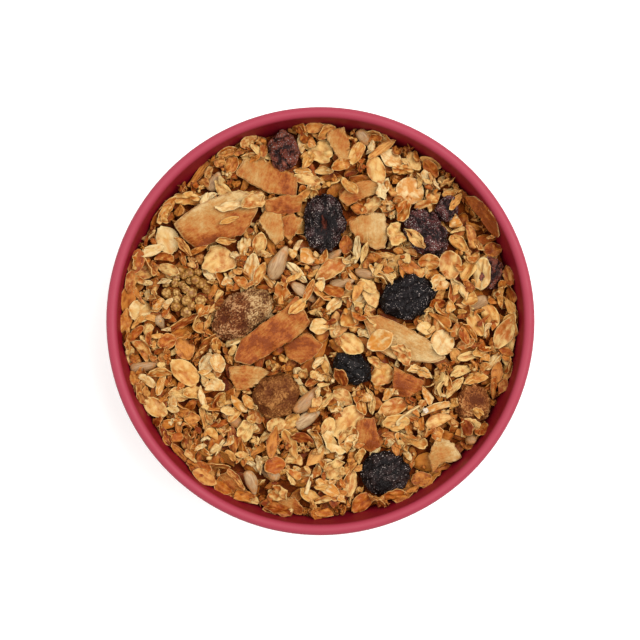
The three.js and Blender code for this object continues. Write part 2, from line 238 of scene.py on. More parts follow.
def mottled(tree, vector, scale, low, high, to_low=0.0, to_high=1.0, detail=3.0):
    """The mottle group in a material, its mask going from to_low to to_high."""
    sockets = {"Vector": vector, "Scale": scale, "Detail": detail}
    sockets |= {"Low": low, "High": high, "To Low": to_low, "To High": to_high}
    return add(tree, "ShaderNodeGroup", sockets, node_tree=MOTTLE).outputs["Mask"]


def give_relief(tree, shader, height, strength, depth):
    """A fine relief, as deep as depth in metres where height goes from 0 to 1."""
    relief = add(tree, "ShaderNodeBump", {"Height": height, "Strength": strength, "Distance": depth})
    tree.links.new(relief.outputs[0], shader.inputs["Normal"])


def begin_material(name, roughness=0.5, specular=0.5):
    material = bpy.data.materials.new(name)
    material.use_nodes = True
    tree = material.node_tree
    shader = tree.nodes["Principled BSDF"]
    shader.inputs["Roughness"].default_value = roughness
    shader.inputs["Specular IOR Level"].default_value = specular
    return material, tree, shader


def crimson_glaze():
    material, tree, shader = begin_material("crimson_glaze", specular=0.24)
    place = object_place(tree)
    height = parts_of(tree, place)["Z"]
    glaze = blend_colour(tree, mottled(tree, place, 45, 0.35, 0.65), srgb(142, 6, 28), srgb(152, 11, 36))
    shade = mottled(tree, place, 900, 0.3, 0.7, 0.93, 1.04)
    shade = add(tree, "ShaderNodeCombineXYZ", {0: shade, 1: shade, 2: shade}).outputs[0]
    glaze = blend_colour(tree, 1.0, glaze, shade, "MULTIPLY")
    # The lip is painted paler, partly for the thinner glaze and partly as a painted sheen.
    thin = stretch(tree, height, RIM_HEIGHT - 2.0 * MM, RIM_HEIGHT - 0.2 * MM, 0.0, 0.92)
    glaze = blend_colour(tree, thin, glaze, srgb(178, 62, 82))
    bare = stretch(tree, height, 0.75 * MM, 0.35 * MM)
    grit = mottled(tree, place, 1400, 0.4, 0.62)
    clay = blend_colour(tree, grit, srgb(150, 122, 98), srgb(196, 172, 146))
    tree.links.new(blend_colour(tree, bare, glaze, clay), shader.inputs["Base Color"])
    gloss = mottled(tree, place, 160, 0.3, 0.7, 0.5, 0.6)
    tree.links.new(maths(tree, "MULTIPLY_ADD", bare, 0.3, gloss), shader.inputs["Roughness"])
    give_relief(tree, shader, noise_of(tree, place, 700), 0.12, 0.1 * MM)
    return material


BOWL_SIDES = 144
bowl = turned("glazed_bowl", foot_rings() + body_rings(), BOWL_SIDES)
bowl.data.materials.append(crimson_glaze())
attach(bowl, "root")
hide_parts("bowl")

# ---- Bed of the granola -------------------------------------------------------------------------
# The loose granola that fills the bowl up to just under what shows. It is packed crumbs and broken
# flakes, painted dark brown as painted shade where little light gets in, with a rough top that the
# whole pieces lie on.

FILL_DEPTH = 8.2
FILL_DOME = 0.7
FILL_BUMP = 0.35
FILL_LAP = 1.7
BED_UNDER_FILL = 4.6
RIM_MM = RIM_HEIGHT / MM
FILL_RADIUS = inner_radius(FILL_DEPTH * MM) / MM


def heap_top(x, y):
    """The mean height of the granola at a place: domed, uneven, and a little higher along the wall. In
    millimetres, as everything in the heap is."""
    share = np.hypot(x, y) / FILL_RADIUS
    bumps = np.sin(x / 7.3 + 1.1) * np.cos(y / 8.1 - 0.4) + 0.6 * np.sin((x + y) / 4.9)
    mean = FILL_DOME * (1 - share**2) + FILL_LAP * share**10 + FILL_BUMP * bumps
    return RIM_MM - FILL_DEPTH + mean


def bed_height(x, y):
    """The height of the bed with its coarse and fine crumbs."""
    coarse = noise.noise(Vector((x / 2.1, y / 2.1, 0)))
    fine = noise.noise(Vector((x / 0.9, y / 0.9, 5)))
    return float(heap_top(x, y)) - BED_UNDER_FILL + coarse + 0.5 * fine


def bed_rings():
    gap = 0.3 * MM
    top_depth = (FILL_DEPTH + BED_UNDER_FILL) * MM
    steps = 10
    rings = []
    for i in range(1, steps + 1):
        depth = top_depth + (INNER_DEPTH - 1 * MM - top_depth) * math.cos(i / steps * math.pi / 2)
        rings.append((inner_radius(depth) - gap, RIM_HEIGHT - depth))
    across = 84
    top = RIM_HEIGHT - top_depth
    rings += [(rings[-1][0] * (1 - (i + 0.5) / across), top) for i in range(across)]
    return rings


def shaded_granola_bed_finish():
    material, tree, shader = begin_material("shaded_granola_crumbs", 0.85, 0.1)
    place = object_place(tree)
    clouds = mottled(tree, place, 420, 0.35, 0.65)
    # The bed is painted dark brown: painted shade deep between the pieces.
    brown = blend_colour(tree, clouds, srgb(96, 32, 2), srgb(146, 66, 10))
    tree.links.new(brown, shader.inputs["Base Color"])
    give_relief(tree, shader, noise_of(tree, place, 1500, 4.0), 0.7, 0.4 * MM)
    return material


BED_SIDES = 240
bed = turned("granola_bed", bed_rings(), BED_SIDES)
for vertex in bed.data.vertices:
    x_mm, y_mm = vertex.co.x / MM, vertex.co.y / MM
    if vertex.co.z > RIM_HEIGHT - (FILL_DEPTH + BED_UNDER_FILL + 0.01) * MM:
        vertex.co.z = bed_height(x_mm, y_mm) * MM
bed.data.materials.append(shaded_granola_bed_finish())
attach(bed, "root")
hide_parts("granola")

# ---- Oat flakes ---------------------------------------------------------------------------------
# Rolled oats, steamed, pressed flat and baked with honey. Each is a thin oval, cupped, folded or
# broken, some with a crease along them. They are let down one by one on what lies there already, so
# that they lean on each other, and pale, golden and toasted ones are mixed.

# The bowl is as wide in the picture as in the photo. Its widest ring lies a little under the top of the
# rim, so the camera stands a hair nearer than the rim alone would ask for.
BOWL_PX = 427
PHOTO_SCALE = 2 * RIM_RADIUS / MM / BOWL_PX
BOWL_MIDDLE_PX = (319.5, 321)
CAMERA_LENS = 85
CAMERA_SENSOR = 36
PHOTO_WIDTH = 640
CAMERA_NEARER = 0.993
CAMERA_ABOVE_RIM = PHOTO_WIDTH * PHOTO_SCALE * CAMERA_LENS / CAMERA_SENSOR * CAMERA_NEARER
CAMERA_AIM_PX = (-0.4, 1.1)


def from_photo(right, down, under_rim=7.5):
    """Where in the bowl, in millimetres, something lies that the photograph shows at a pixel."""
    scale = PHOTO_SCALE * (1 + under_rim / CAMERA_ABOVE_RIM)
    return (right - BOWL_MIDDLE_PX[0]) * scale, (BOWL_MIDDLE_PX[1] - down) * scale


# The heap grows on a square grid of cells, each with the height of what lies there already.
STEP = 0.5
REACH = 60.0
CELLS = int(2 * REACH / STEP) + 1
GRID_X, GRID_Y = np.meshgrid(*[np.linspace(-REACH, REACH, CELLS)] * 2, indexing="ij")
WALL_REACH = FILL_RADIUS - 0.1
CEILING = RIM_MM - 4.9
CRUMBS_HIGH = 0.4
surface = heap_top(GRID_X, GRID_Y) - BED_UNDER_FILL + CRUMBS_HIGH
keep_clear = np.zeros((CELLS, CELLS), bool)

# Dark gaps between the pieces in the photo, with only small dark pieces low down in them: right, down
# and radius in its pixels.
GAPS = (
    (232, 180, 5), (484, 230, 4), (444, 176, 4), (476, 361, 4), (261, 499, 4), (194, 340, 4),
    (192, 362, 4), (412, 402, 4), (306, 512, 4), (340, 508, 3), (190, 429, 4), (306, 273, 3),
    (122, 315, 3), (240, 261, 3), (407, 151, 3), (393, 181, 3), (360, 165, 3), (316, 427, 3),
    (184, 187, 3), (374, 389, 3), (279, 244, 3), (284, 371, 3), (333, 414, 3), (324, 313, 3),
    (382, 505, 3), (271, 195, 3), (464, 386, 3), (494, 400, 4), (466, 204, 4), (248, 149, 3),
    (211, 161, 3), (139, 245, 3),
)
gaps = np.zeros((CELLS, CELLS), bool)
for right, down, radius in GAPS:
    gap_x, gap_y = from_photo(right, down)
    gaps |= np.hypot(GRID_X - gap_x, GRID_Y - gap_y) < radius * PHOTO_SCALE
topping_top = np.full((CELLS, CELLS), -np.inf)
topping_bottom = np.full((CELLS, CELLS), np.inf)


def note_topping(name):
    """Notes how low and how high a topping reaches over each cell of the grid."""
    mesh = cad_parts[name].data
    corners = [vertex.co / MM for vertex in mesh.vertices]
    tree = BVHTree.FromPolygons(corners, [list(face.vertices) for face in mesh.polygons])
    low, high = (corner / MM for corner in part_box(name))
    inside = (GRID_X > low.x) & (GRID_X < high.x) & (GRID_Y > low.y) & (GRID_Y < high.y)
    for i, j in np.argwhere(inside):
        x, y = GRID_X[i, j], GRID_Y[i, j]
        above = tree.ray_cast(Vector((x, y, 90)), Vector((0, 0, -1)))[0]
        below = tree.ray_cast(Vector((x, y, 0)), Vector((0, 0, 1)))[0]
        if above and below:
            topping_top[i, j] = max(topping_top[i, j], above.z)
            topping_bottom[i, j] = min(topping_bottom[i, j], below.z)


TOPPINGS = sorted(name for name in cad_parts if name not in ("bowl", "granola"))
for topping in TOPPINGS:
    note_topping(topping)

# A piece needs a few cells under it. It slopes with the heap by no more than STEEPEST, and sinks in a
# little. It may pass through a topping by MAY_OVERLAP, or by more in a share, MAY_CROSS, of it.
FEWEST_CELLS = 3
STEEPEST = 0.6
MAY_OVERLAP = 0.15
MAY_CROSS = 0.06
SETTLES = 0.1


def lay(
    x, y, yaw, size, lean=(0.0, 0.0), ceiling=CEILING, covering=0.2,
    keep=False, sink=14, over_gap=3, within=WALL_REACH,
):
    """Lets a flat piece of a length, width and thickness down on the heap at x, y. It slopes as the
    heap does there and leans by its own angles along and across. sink percent of what is under it is
    higher than its underside. It fits where its top is under the ceiling, with no more than a share,
    covering, of it over pieces that stay in sight and over_gap cells of it over a gap. keep makes it
    such a piece. Returns its place as a matrix, or None where it doesn't fit."""
    length, width, thick = size
    radius = math.hypot(x, y)
    turn = yaw - math.atan2(y, x)
    reach_out = math.hypot(length / 2 * math.cos(turn), width / 2 * math.sin(turn) * math.cos(lean[1]))
    if radius + reach_out > within and radius > 1:
        x *= (within - reach_out) / radius
        y *= (within - reach_out) / radius
    half = int(length / 2 / STEP) + 2
    i, j = round((x + REACH) / STEP), round((y + REACH) / STEP)
    window = (slice(max(i - half, 0), i + half + 1), slice(max(j - half, 0), j + half + 1))
    dx, dy = GRID_X[window] - x, GRID_Y[window] - y
    along = dx * math.cos(yaw) + dy * math.sin(yaw)
    across = dy * math.cos(yaw) - dx * math.sin(yaw)
    under = (2 * along / length) ** 2 + (2 * across / width) ** 2 <= 1
    if under.sum() < FEWEST_CELLS:
        return None
    local = surface[window]
    ones = np.ones(under.sum())
    fit = np.linalg.lstsq(np.stack([along[under], across[under], ones], 1), local[under], rcond=None)[0]
    tilt = [max(-STEEPEST, min(STEEPEST, math.atan(fit[k]))) + lean[k] for k in (0, 1)]
    half_length = max(length / 2 * math.cos(tilt[0]), thick / 2)
    half_width = max(width / 2 * math.cos(tilt[1]), thick / 2)
    under = (along / half_length) ** 2 + (across / half_width) ** 2 <= 1
    if under.sum() < FEWEST_CELLS:
        return None
    plane = math.tan(tilt[0]) * along + math.tan(tilt[1]) * across
    rest = np.percentile((local - plane)[under], 100 - sink)
    bottom = plane + rest
    top = bottom + thick
    if top[under].max() > ceiling or keep_clear[window][under].mean() > covering:
        return None
    if gaps[window][under].sum() > over_gap:
        return None
    crossed = under & (top > topping_bottom[window] + MAY_OVERLAP)
    crossed &= bottom < topping_top[window] - MAY_OVERLAP
    if crossed.sum() > MAY_CROSS * under.sum():
        return None
    local[under] = np.maximum(local[under], top[under] - SETTLES)
    keep_clear[window][under] |= keep
    lengthways = Vector((math.cos(yaw), math.sin(yaw), math.tan(tilt[0]))).normalized()
    sideways = Vector((-math.sin(yaw), math.cos(yaw), math.tan(tilt[1])))
    upwards = lengthways.cross(sideways).normalized()
    sideways = upwards.cross(lengthways)
    place = Matrix((lengthways, sideways, upwards)).transposed().to_4x4()
    place.translation = (x, y, rest + thick / 2)
    return place


FLAKE_SIZE = (8.4, 5.6, 0.8)
ANY_TURN = (0, 6.28)


def model_arrays(piece, rims, crease=0.0, hollows=None):
    """A modelled piece as arrays, in millimetres, for its copies. The model itself is removed."""
    corners = np.array([vertex.co for vertex in piece.data.vertices])
    faces = [list(face.vertices) for face in piece.data.polygons]
    bpy.data.objects.remove(piece)
    hollows = np.full(len(corners), 0.5) if hollows is None else np.array(hollows)
    arrays = {"corners": corners, "faces": faces, "rims": np.array(rims)}
    return arrays | {"crease": crease, "hollows": hollows}


def flake_model(number, sides, levels, cup=0.3, curl=0.1, fold=0.3, breaks=0, crease=0.0, ragged=0.35):
    """One rolled oat: a ball pressed flat, narrower to its ends, with a ragged rim, a dished middle
    (cup), a bend along its length (curl), soft folds, a crease along it, and straight edges where
    pieces have broken off."""
    chance = random.Random(number)
    flake = begin(bpy.ops.mesh.primitive_uv_sphere_add, segments=sides, ring_count=levels, radius=1)
    phases = [chance.uniform(*ANY_TURN) for _ in range(6)]
    jags = [chance.gauss(0, 0.06 * ragged) for _ in range(sides)]
    cuts = [(chance.uniform(*ANY_TURN), chance.uniform(0.1, 0.6)) for _ in range(breaks)]
    lobes = [ragged * chance.uniform(0.04, 0.15) for _ in range(3)]
    pointed = chance.uniform(0.1, 0.45) * (1.2 - ragged)
    rims, hollows = [], []
    for vertex in flake.data.vertices:
        x, y, z = vertex.co
        rim = min(math.hypot(x, y), 1)
        angle = math.atan2(y, x)
        uneven = lobes[0] * math.sin(2 * angle + phases[0]) + lobes[1] * math.sin(3 * angle + phases[1])
        uneven += 0.6 * lobes[2] * math.sin(5 * angle + phases[2])
        uneven += jags[round(angle / 2 / math.pi * sides) % sides]
        y *= (1 + uneven * rim) * (1 - pointed * x * x)
        x *= 1 + uneven * rim
        for cut_angle, cut_at in cuts:
            over = x * math.cos(cut_angle) + y * math.sin(cut_angle) - cut_at
            if over > 0:
                x -= 0.93 * over * math.cos(cut_angle)
                y -= 0.93 * over * math.sin(cut_angle)
        thick = math.copysign(abs(z) ** 0.6, z) * (1 - 0.35 * rim**3)
        wave = noise.noise(Vector((1.5 * x, 1.9 * y, number * 3.7)))
        ripple = noise.noise(Vector((2.6 * x, 3.6 * y, number * 2.3)))
        lift = cup * (rim**2 - 0.4) + curl * (x * x - 0.3) + fold * 1.6 * wave * (0.4 + rim)
        lift += (0.35 + 0.5 * fold) * ripple
        lift += 0.6 * ragged * math.sin(3 * angle + phases[5]) * rim**3
        across = y + 0.12 * math.sin(2.2 * x + phases[3])
        valley = crease * (math.exp(-((across / 0.13) ** 2)) - 0.35 * math.exp(-((across / 0.4) ** 2)))
        valley *= (1 - rim**4) if z > 0 else 0
        vertex.co = (
            x * FLAKE_SIZE[0] / 2,
            y * FLAKE_SIZE[1] / 2,
            thick * FLAKE_SIZE[2] / 2 + lift - valley,
        )
        rims.append(rim)
        # How low the point lies among the ripples, which the finish paints as shade and highlight.
        hollows.append(0.5 - 0.9 * ripple - 0.35 * wave)
    return model_arrays(flake, rims, min(1.0, 2 * crease), hollows)


def join_copies(name, copies):
    """One mesh from copies of models. Each copy is a model, its matrix, its size as three factors and
    its looks: tone and toast from 0 to 1. Attributes tell the finish where on its piece a point is."""
    corners, faces, lie, looks, chance, crease, hollow = [], [], [], [], [], [], []
    count = 0
    draw = random.Random(name)
    for model, place, scale, tone, toast in copies:
        local = model["corners"] * np.array(scale)
        turned_corners = local @ np.array(place.to_3x3()).T + np.array(place.translation)
        corners.append(turned_corners * MM)
        faces += [[count + index for index in face] for face in model["faces"]]
        lie.append(model["corners"])
        looks.append(np.stack([np.full(len(local), tone), np.full(len(local), toast), model["rims"]], 1))
        chance.append(np.full(len(local), draw.random()))
        crease.append(np.full(len(local), model["crease"]))
        hollow.append(model["hollows"])
        count += len(local)
    mesh = bpy.data.meshes.new(name)
    mesh.from_pydata(np.concatenate(corners).tolist(), [], faces)
    for key, kind, field, values in (
        ("lie", "FLOAT_VECTOR", "vector", lie),
        ("looks", "FLOAT_VECTOR", "vector", looks),
        ("chance", "FLOAT", "value", chance),
        ("crease", "FLOAT", "value", crease),
        ("hollow", "FLOAT", "value", hollow),
    ):
        layer = mesh.attributes.new(key, kind, "POINT")
        layer.data.foreach_set(field, np.concatenate(values).astype(np.float32).ravel())
    mesh.shade_smooth()
    piece = bpy.data.objects.new(name, mesh)
    bpy.context.scene.collection.objects.link(piece)
    return piece


# How many sides and levels the mesh of an oat has, by how well the oat shows.
BURIED, BROKEN, WHOLE, SEEN = (12, 5), (16, 6), (20, 8), (32, 12)
MODELS = {
    "deep": [flake_model(100 + n, *BURIED, cup=0.25, fold=0.35, breaks=n % 2) for n in range(8)],
    "chunk": [
        flake_model(120 + n, *BURIED, cup=0.25, curl=0.1 * (n % 3), fold=0.6, breaks=n % 3, ragged=0.8)
        for n in range(12)
    ],
    "whole": [
        flake_model(n, *WHOLE, cup=0.2 + 0.12 * (n % 4), curl=0.1 * (n % 3), crease=0.5 * (n % 2))
        for n in range(12)
    ],
    "curled": [flake_model(20 + n, *WHOLE, cup=0.5, curl=0.5 + 0.2 * n) for n in range(5)],
    "rough": [flake_model(30 + n, *WHOLE, fold=0.6, ragged=0.9) for n in range(6)],
    "broken": [
        flake_model(40 + n, *BROKEN, cup=0.25, curl=0.15 * n, fold=0.35, breaks=1 + n % 2)
        for n in range(10)
    ],
    "fine": [flake_model(60 + n, *SEEN, cup=0.3 + 0.1 * (n % 3), curl=0.15 * (n % 3)) for n in range(6)],
    "fine_creased": [
        flake_model(65 + n, *SEEN, curl=0.1 * n, fold=0.25, crease=0.6, ragged=0.2) for n in range(4)
    ],
    "fine_rough": [flake_model(70 + n, *SEEN, cup=0.35, fold=0.7, ragged=0.8) for n in range(4)],
    "fine_broken": [flake_model(80 + n, *SEEN, cup=0.25, fold=0.35, breaks=1 + n % 2) for n in range(4)],
}


def scale_to(size, model_size):
    return tuple(size[k] / model_size[k] for k in range(3))


def attribute(tree, name, output="Fac"):
    return add(tree, "ShaderNodeAttribute", attribute_name=name).outputs[output]


def vector_maths(tree, operation, first, second):
    return add(tree, "ShaderNodeVectorMath", {0: first, 1: second}, operation=operation).outputs[0]


def baked_oat_group():
    """Baked oat: from pale to gold in soft patches, toasted in stains, with a painted highlight along the
    thin rim and on raised parts, and painted shade in the hollows and along the crease.
    """
    inputs = dict.fromkeys(("Pale", "Gold", "Burnt"), "Color")
    outputs = {"Color": "Color", "Roughness": "Float", "Height": "Float"}
    group, given, made = begin_group("baked_oat", inputs, outputs)
    lie = attribute(group, "lie", "Vector")
    looks = attribute(group, "looks", "Vector")
    tone, toast, rim = parts_of(group, looks)
    chance = attribute(group, "chance")
    crease = attribute(group, "crease")
    hollow = attribute(group, "hollow")
    shift_x, shift_y = maths(group, "MULTIPLY", chance, 310), maths(group, "MULTIPLY", chance, 170)
    shift = add(group, "ShaderNodeCombineXYZ", {0: shift_x, 1: shift_y}).outputs[0]
    place = vector_maths(group, "ADD", lie, shift)
    fibres = noise_of(group, vector_maths(group, "MULTIPLY", place, (0.45, 1.8, 1.0)), 1.1)
    patches = noise_of(group, place, 0.42, 2.0)
    mixed = maths(group, "ADD", tone, maths(group, "MULTIPLY_ADD", patches, 2.0, -1.0))
    colour = blend_colour(group, stretch(group, mixed, 0.0, 1.0), given["Pale"], given["Gold"])
    colour = lay_over(group, colour, given["Burnt"], fibres, 0.45, 0.75, 0.3)
    far = vector_maths(group, "ADD", place, (11, 7, 3))
    stains = maths(group, "MULTIPLY_ADD", toast, 0.3, noise_of(group, far, 0.45, 5.0, 0.6))
    colour = lay_over(group, colour, given["Burnt"], stains, 0.56, 0.86, 0.92)
    # Painted shade in the low parts of the ripples and a painted highlight on the raised parts.
    colour = lay_over(group, colour, given["Burnt"], hollow, 0.55, 0.95, 0.55)
    colour = lay_over(group, colour, given["Pale"], hollow, 0.45, 0.1, 0.6)
    ring = maths(group, "MULTIPLY", stretch(group, rim, 0.5, 0.95), stretch(group, chance, 0.4, 0.55))
    patchy = stretch(group, noise_of(group, far, 0.6, 2.0), 0.4, 0.62, 0.0, 0.75)
    colour = blend_colour(group, maths(group, "MULTIPLY", ring, patchy), colour, given["Burnt"])
    # A painted highlight along the thin rim, where the light catches it.
    patchy = stretch(group, patches, 0.36, 0.6, 0.0, 0.8)
    thin = maths(group, "MULTIPLY", stretch(group, rim, 0.86, 1.0), patchy)
    colour = blend_colour(group, thin, colour, given["Pale"])
    colour = blend_colour(group, maths(group, "MULTIPLY", thin, 0.45), colour, srgb(246, 216, 148))
    # A painted shade line along the crease.
    beside = parts_of(group, lie)["Y"]
    line = stretch(group, maths(group, "ABSOLUTE", beside), 0.7, 0.1)
    line = maths(group, "MULTIPLY", maths(group, "MULTIPLY", line, crease), stretch(group, rim, 0.9, 0.6))
    line = maths(group, "MULTIPLY", line, stretch(group, patches, 0.35, 0.6, 0.2, 1.0))
    colour = blend_colour(group, maths(group, "MULTIPLY", line, 0.5), colour, given["Burnt"])
    group.links.new(colour, made["Color"])
    group.links.new(stretch(group, patches, 0.3, 0.7, 0.38, 0.6), made["Roughness"])
    group.links.new(maths(group, "MULTIPLY_ADD", fibres, 0.5, stains), made["Height"])
    return group


BAKED_OAT = baked_oat_group()


def honey_oat(name, pale, gold, burnt):
    material, tree, shader = begin_material(name, specular=0.14)
    sockets = {"Pale": pale, "Gold": gold, "Burnt": burnt}
    baked = add(tree, "ShaderNodeGroup", sockets, node_tree=BAKED_OAT).outputs
    tree.links.new(baked["Color"], shader.inputs["Base Color"])
    tree.links.new(baked["Roughness"], shader.inputs["Roughness"])
    give_relief(tree, shader, baked["Height"], 0.8, 0.4 * MM)
    return material


OAT_FINISHES = {
    "pale": honey_oat("pale_oat", srgb(243, 215, 158), srgb(232, 190, 120), srgb(208, 128, 36)),
    "golden": honey_oat("golden_oat", srgb(238, 198, 126), srgb(220, 158, 78), srgb(180, 88, 10)),
    "amber": honey_oat("amber_oat", srgb(228, 168, 90), srgb(204, 120, 42), srgb(150, 60, 4)),
    "toasted": honey_oat("toasted_oat", srgb(212, 136, 58), srgb(180, 88, 20), srgb(124, 42, 0)),
    # The deep oats, low in the heap and in the dark gaps, are darker copies of the toasted ones: painted
    # shade.
    "deep": honey_oat("shaded_deep_oat", srgb(202, 126, 46), srgb(174, 84, 18), srgb(124, 42, 0)),
}
SHARES = (("pale", 0.2), ("golden", 0.38), ("amber", 0.23), ("toasted", 0.19))
FORMS = (("whole", 0.36), ("curled", 0.16), ("rough", 0.16), ("broken", 0.32))
heap_pieces = {kind: [] for kind in OAT_FINISHES}
DRAW = random.Random(7)

# The oats beyond this radius, which lie along the red wall, are a shade browner: painted shade and
# painted red bounce light from the wall.
WALL_SHADE_FROM = 52.3
BROWNER_IN_WALL_SHADE = {"pale": "golden", "golden": "amber", "amber": "toasted"}


def draw_kind():
    number = DRAW.random()
    for kind, share in SHARES:
        number -= share
        if number < 0:
            return kind
    return SHARES[-1][0]


def drop(x, y, yaw, size, lean, form, kind=None, **limits):
    """Lets one oat of a form down and keeps it where it fits."""
    kind = kind or draw_kind()
    if math.hypot(x, y) > WALL_SHADE_FROM:
        kind = BROWNER_IN_WALL_SHADE.get(kind, kind)
    place = lay(x, y, yaw, size, lean, **limits)
    model = DRAW.choice(MODELS[form])
    looks = (DRAW.random(), DRAW.random())
    if place is not None:
        heap_pieces[kind].append((model, place, scale_to(size, FLAKE_SIZE), *looks))
    return place is not None


def lowest_spot(tries):
    """The place with the lowest surface of a few that are drawn, so that the heap grows evenly."""
    best = None
    for _ in range(tries):
        radius = (FILL_RADIUS - 1.5) * math.sqrt(DRAW.random())
        angle = DRAW.uniform(0, 2 * math.pi)
        x, y = radius * math.cos(angle), radius * math.sin(angle)
        i, j = round((x + REACH) / STEP), round((y + REACH) / STEP)
        level = surface[i - 3 : i + 4, j - 3 : j + 4].mean() - float(heap_top(x, y))
        if best is None or level < best[0]:
            best = (level, x, y)
    return best[1:]


def draw_size(lengths, widths, thicknesses):
    """A length, a width as a share of it and a thickness, each drawn between two ends."""
    length = DRAW.uniform(*lengths)
    return (length, length * DRAW.uniform(*widths), DRAW.uniform(*thicknesses))


def draw_lean(along, across):
    return (DRAW.gauss(0, along), DRAW.gauss(0, across))


def scatter_oats(count, tries, longest, steep, form=None, kind=None, **limits):
    """Lets oats down at low spots. steep is the share of them that stand on their side."""
    for _ in range(count):
        x, y = lowest_spot(tries)
        length = DRAW.uniform(0.55, 1) * longest
        size = (length, length * DRAW.uniform(0.34, 0.66), DRAW.uniform(0.75, 1.1))
        lean = draw_lean(0.2, 0.26)
        if DRAW.random() < steep:
            lean = (DRAW.gauss(0, 0.25), DRAW.choice((-1, 1)) * DRAW.uniform(0.7, 1.3))
        drawn = DRAW.choices(*zip(*FORMS))[0]
        drop(x, y, DRAW.uniform(0, 2 * math.pi), size, lean, form or drawn, kind, **limits)


WALL_LINE = 55
WALL_LIMITS = {"ceiling": RIM_MM - 2.8, "within": FILL_RADIUS + 0.3}


def line_wall(count, first=0, last=360, sink=14):
    """Oats that stand against the bowl's wall, their outer side up, from a first angle to a last one."""
    for k in range(count):
        angle = math.radians(first + (last - first) * (k + DRAW.random()) / count)
        x, y = WALL_LINE * math.cos(angle), WALL_LINE * math.sin(angle)
        size = draw_size((5.5, 9.5), (0.5, 0.7), (0.6, 0.9))
        lean = (DRAW.gauss(0, 0.12), -DRAW.uniform(0.8, 1.2))
        yaw = angle + math.pi / 2 + DRAW.gauss(0, 0.12)
        form = DRAW.choice(("whole", "whole", "broken", "rough"))
        drop(x, y, yaw, size, lean, form, sink=sink, **WALL_LIMITS)


FILL_LEVEL = RIM_MM - FILL_DEPTH
DEEP = {"form": "deep", "kind": "deep"}
scatter_oats(560, tries=6, longest=9.6, steep=0.1, ceiling=FILL_LEVEL - 1.9, **DEEP)
scatter_oats(560, tries=6, longest=9.6, steep=0.15, ceiling=FILL_LEVEL, **DEEP)
scatter_oats(260, tries=12, longest=8.4, steep=0.2, ceiling=FILL_LEVEL + 0.4)
scatter_oats(260, tries=12, longest=5.0, steep=0.2, form="chunk", ceiling=FILL_LEVEL)
# The small oats in the gaps are deep oats, darker as painted shade.
IN_A_GAP = 7
for right, down, radius in GAPS:
    for _ in range(IN_A_GAP):
        spot = from_photo(*(pixel + DRAW.uniform(-1.2, 1.2) * radius for pixel in (right, down)))
        size = draw_size((1.6, 3.8), (0.5, 0.8), (0.6, 1.0))
        lean = draw_lean(0.3, 0.4)
        drop(*spot, DRAW.uniform(*ANY_TURN), size, lean, "chunk", "deep", over_gap=99)

# From here on what is let down lies on the toppings too, and the toppings stay in sight.
covered = topping_top > 0
surface[covered] = np.maximum(surface, topping_top)[covered]
keep_clear |= covered
line_wall(50)

# ---- Puffed grains ------------------------------------------------------------------------------
# A clump of small puffed balls at the left, lumpy and yellow-brown, stuck together with honey. They
# are spread like seeds in a flower head, each a little off its place.


def puffed_model(number):
    """A small lumpy ball. Its clefts are kept where an oat has its rim."""
    ball = begin(bpy.ops.mesh.primitive_ico_sphere_add, subdivisions=4, radius=1)
    rims = []
    for vertex in ball.data.vertices:
        lumps = noise.voronoi(vertex.co * 1.5 + Vector((number * 5.1, 0, 0)))[0][0]
        rims.append(lumps)
        vertex.co *= 1.08 - 0.3 * lumps + 0.08 * noise.noise(vertex.co * 3)
    return model_arrays(ball, rims)


def puffed_finish(name, light, dark, hollows):
    material, tree, shader = begin_material(name, 0.45, 0.3)
    lie = attribute(tree, "lie", "Vector")
    looks = attribute(tree, "looks", "Vector")
    tone, _, hollow = parts_of(tree, looks)
    colour = blend_colour(tree, tone, light, dark)
    # Painted shade in the clefts between the lumps.
    colour = lay_over(tree, colour, hollows, hollow, 0.3, 0.7, 0.8)
    tree.links.new(colour, shader.inputs["Base Color"])
    give_relief(tree, shader, noise_of(tree, lie, 5.0), 0.5, 0.2 * MM)
    return material


PUFFED_MODELS = [puffed_model(n) for n in range(4)]
CLUMP_MIDDLE = from_photo(184, 290)
CLUMP_GRAINS = 30
CLUMP_RADIUS = 6.4
GOLDEN_ANGLE = math.pi * (3 - math.sqrt(5))
puffed = []
for k in range(CLUMP_GRAINS):
    out = CLUMP_RADIUS * math.sqrt(1 - (k + 0.5) / CLUMP_GRAINS) + DRAW.gauss(0, 0.3)
    angle = k * GOLDEN_ANGLE
    width = DRAW.uniform(2.2, 3.6)
    spot = (CLUMP_MIDDLE[0] + out * math.cos(angle), CLUMP_MIDDLE[1] + out * math.sin(angle))
    size = (width, width, width * 0.95)
    place = lay(*spot, DRAW.uniform(*ANY_TURN), size, covering=1.0, keep=True, sink=40)
    if place is not None:
        puffed.append((DRAW.choice(PUFFED_MODELS), place, (width / 2,) * 3, DRAW.random(), 0))
puffed_grains = join_copies("puffed_grains", puffed)
# The third colour is the painted shade in the clefts.
puffed_colours = (srgb(214, 168, 96), srgb(186, 132, 58), srgb(136, 78, 24))
puffed_grains.data.materials.append(puffed_finish("puffed_grain", *puffed_colours))
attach(puffed_grains, "root")
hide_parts("granola")

# ---- Sunflower kernels --------------------------------------------------------------------------
# Hulled sunflower seeds, grey-beige drops with a blunt and a pointed end and faint lengthwise lines.
# They are flat, and the ones that stand out in the photo lie where it shows them.

KERNEL_SIZE = (9.8, 3.8, 2.3)


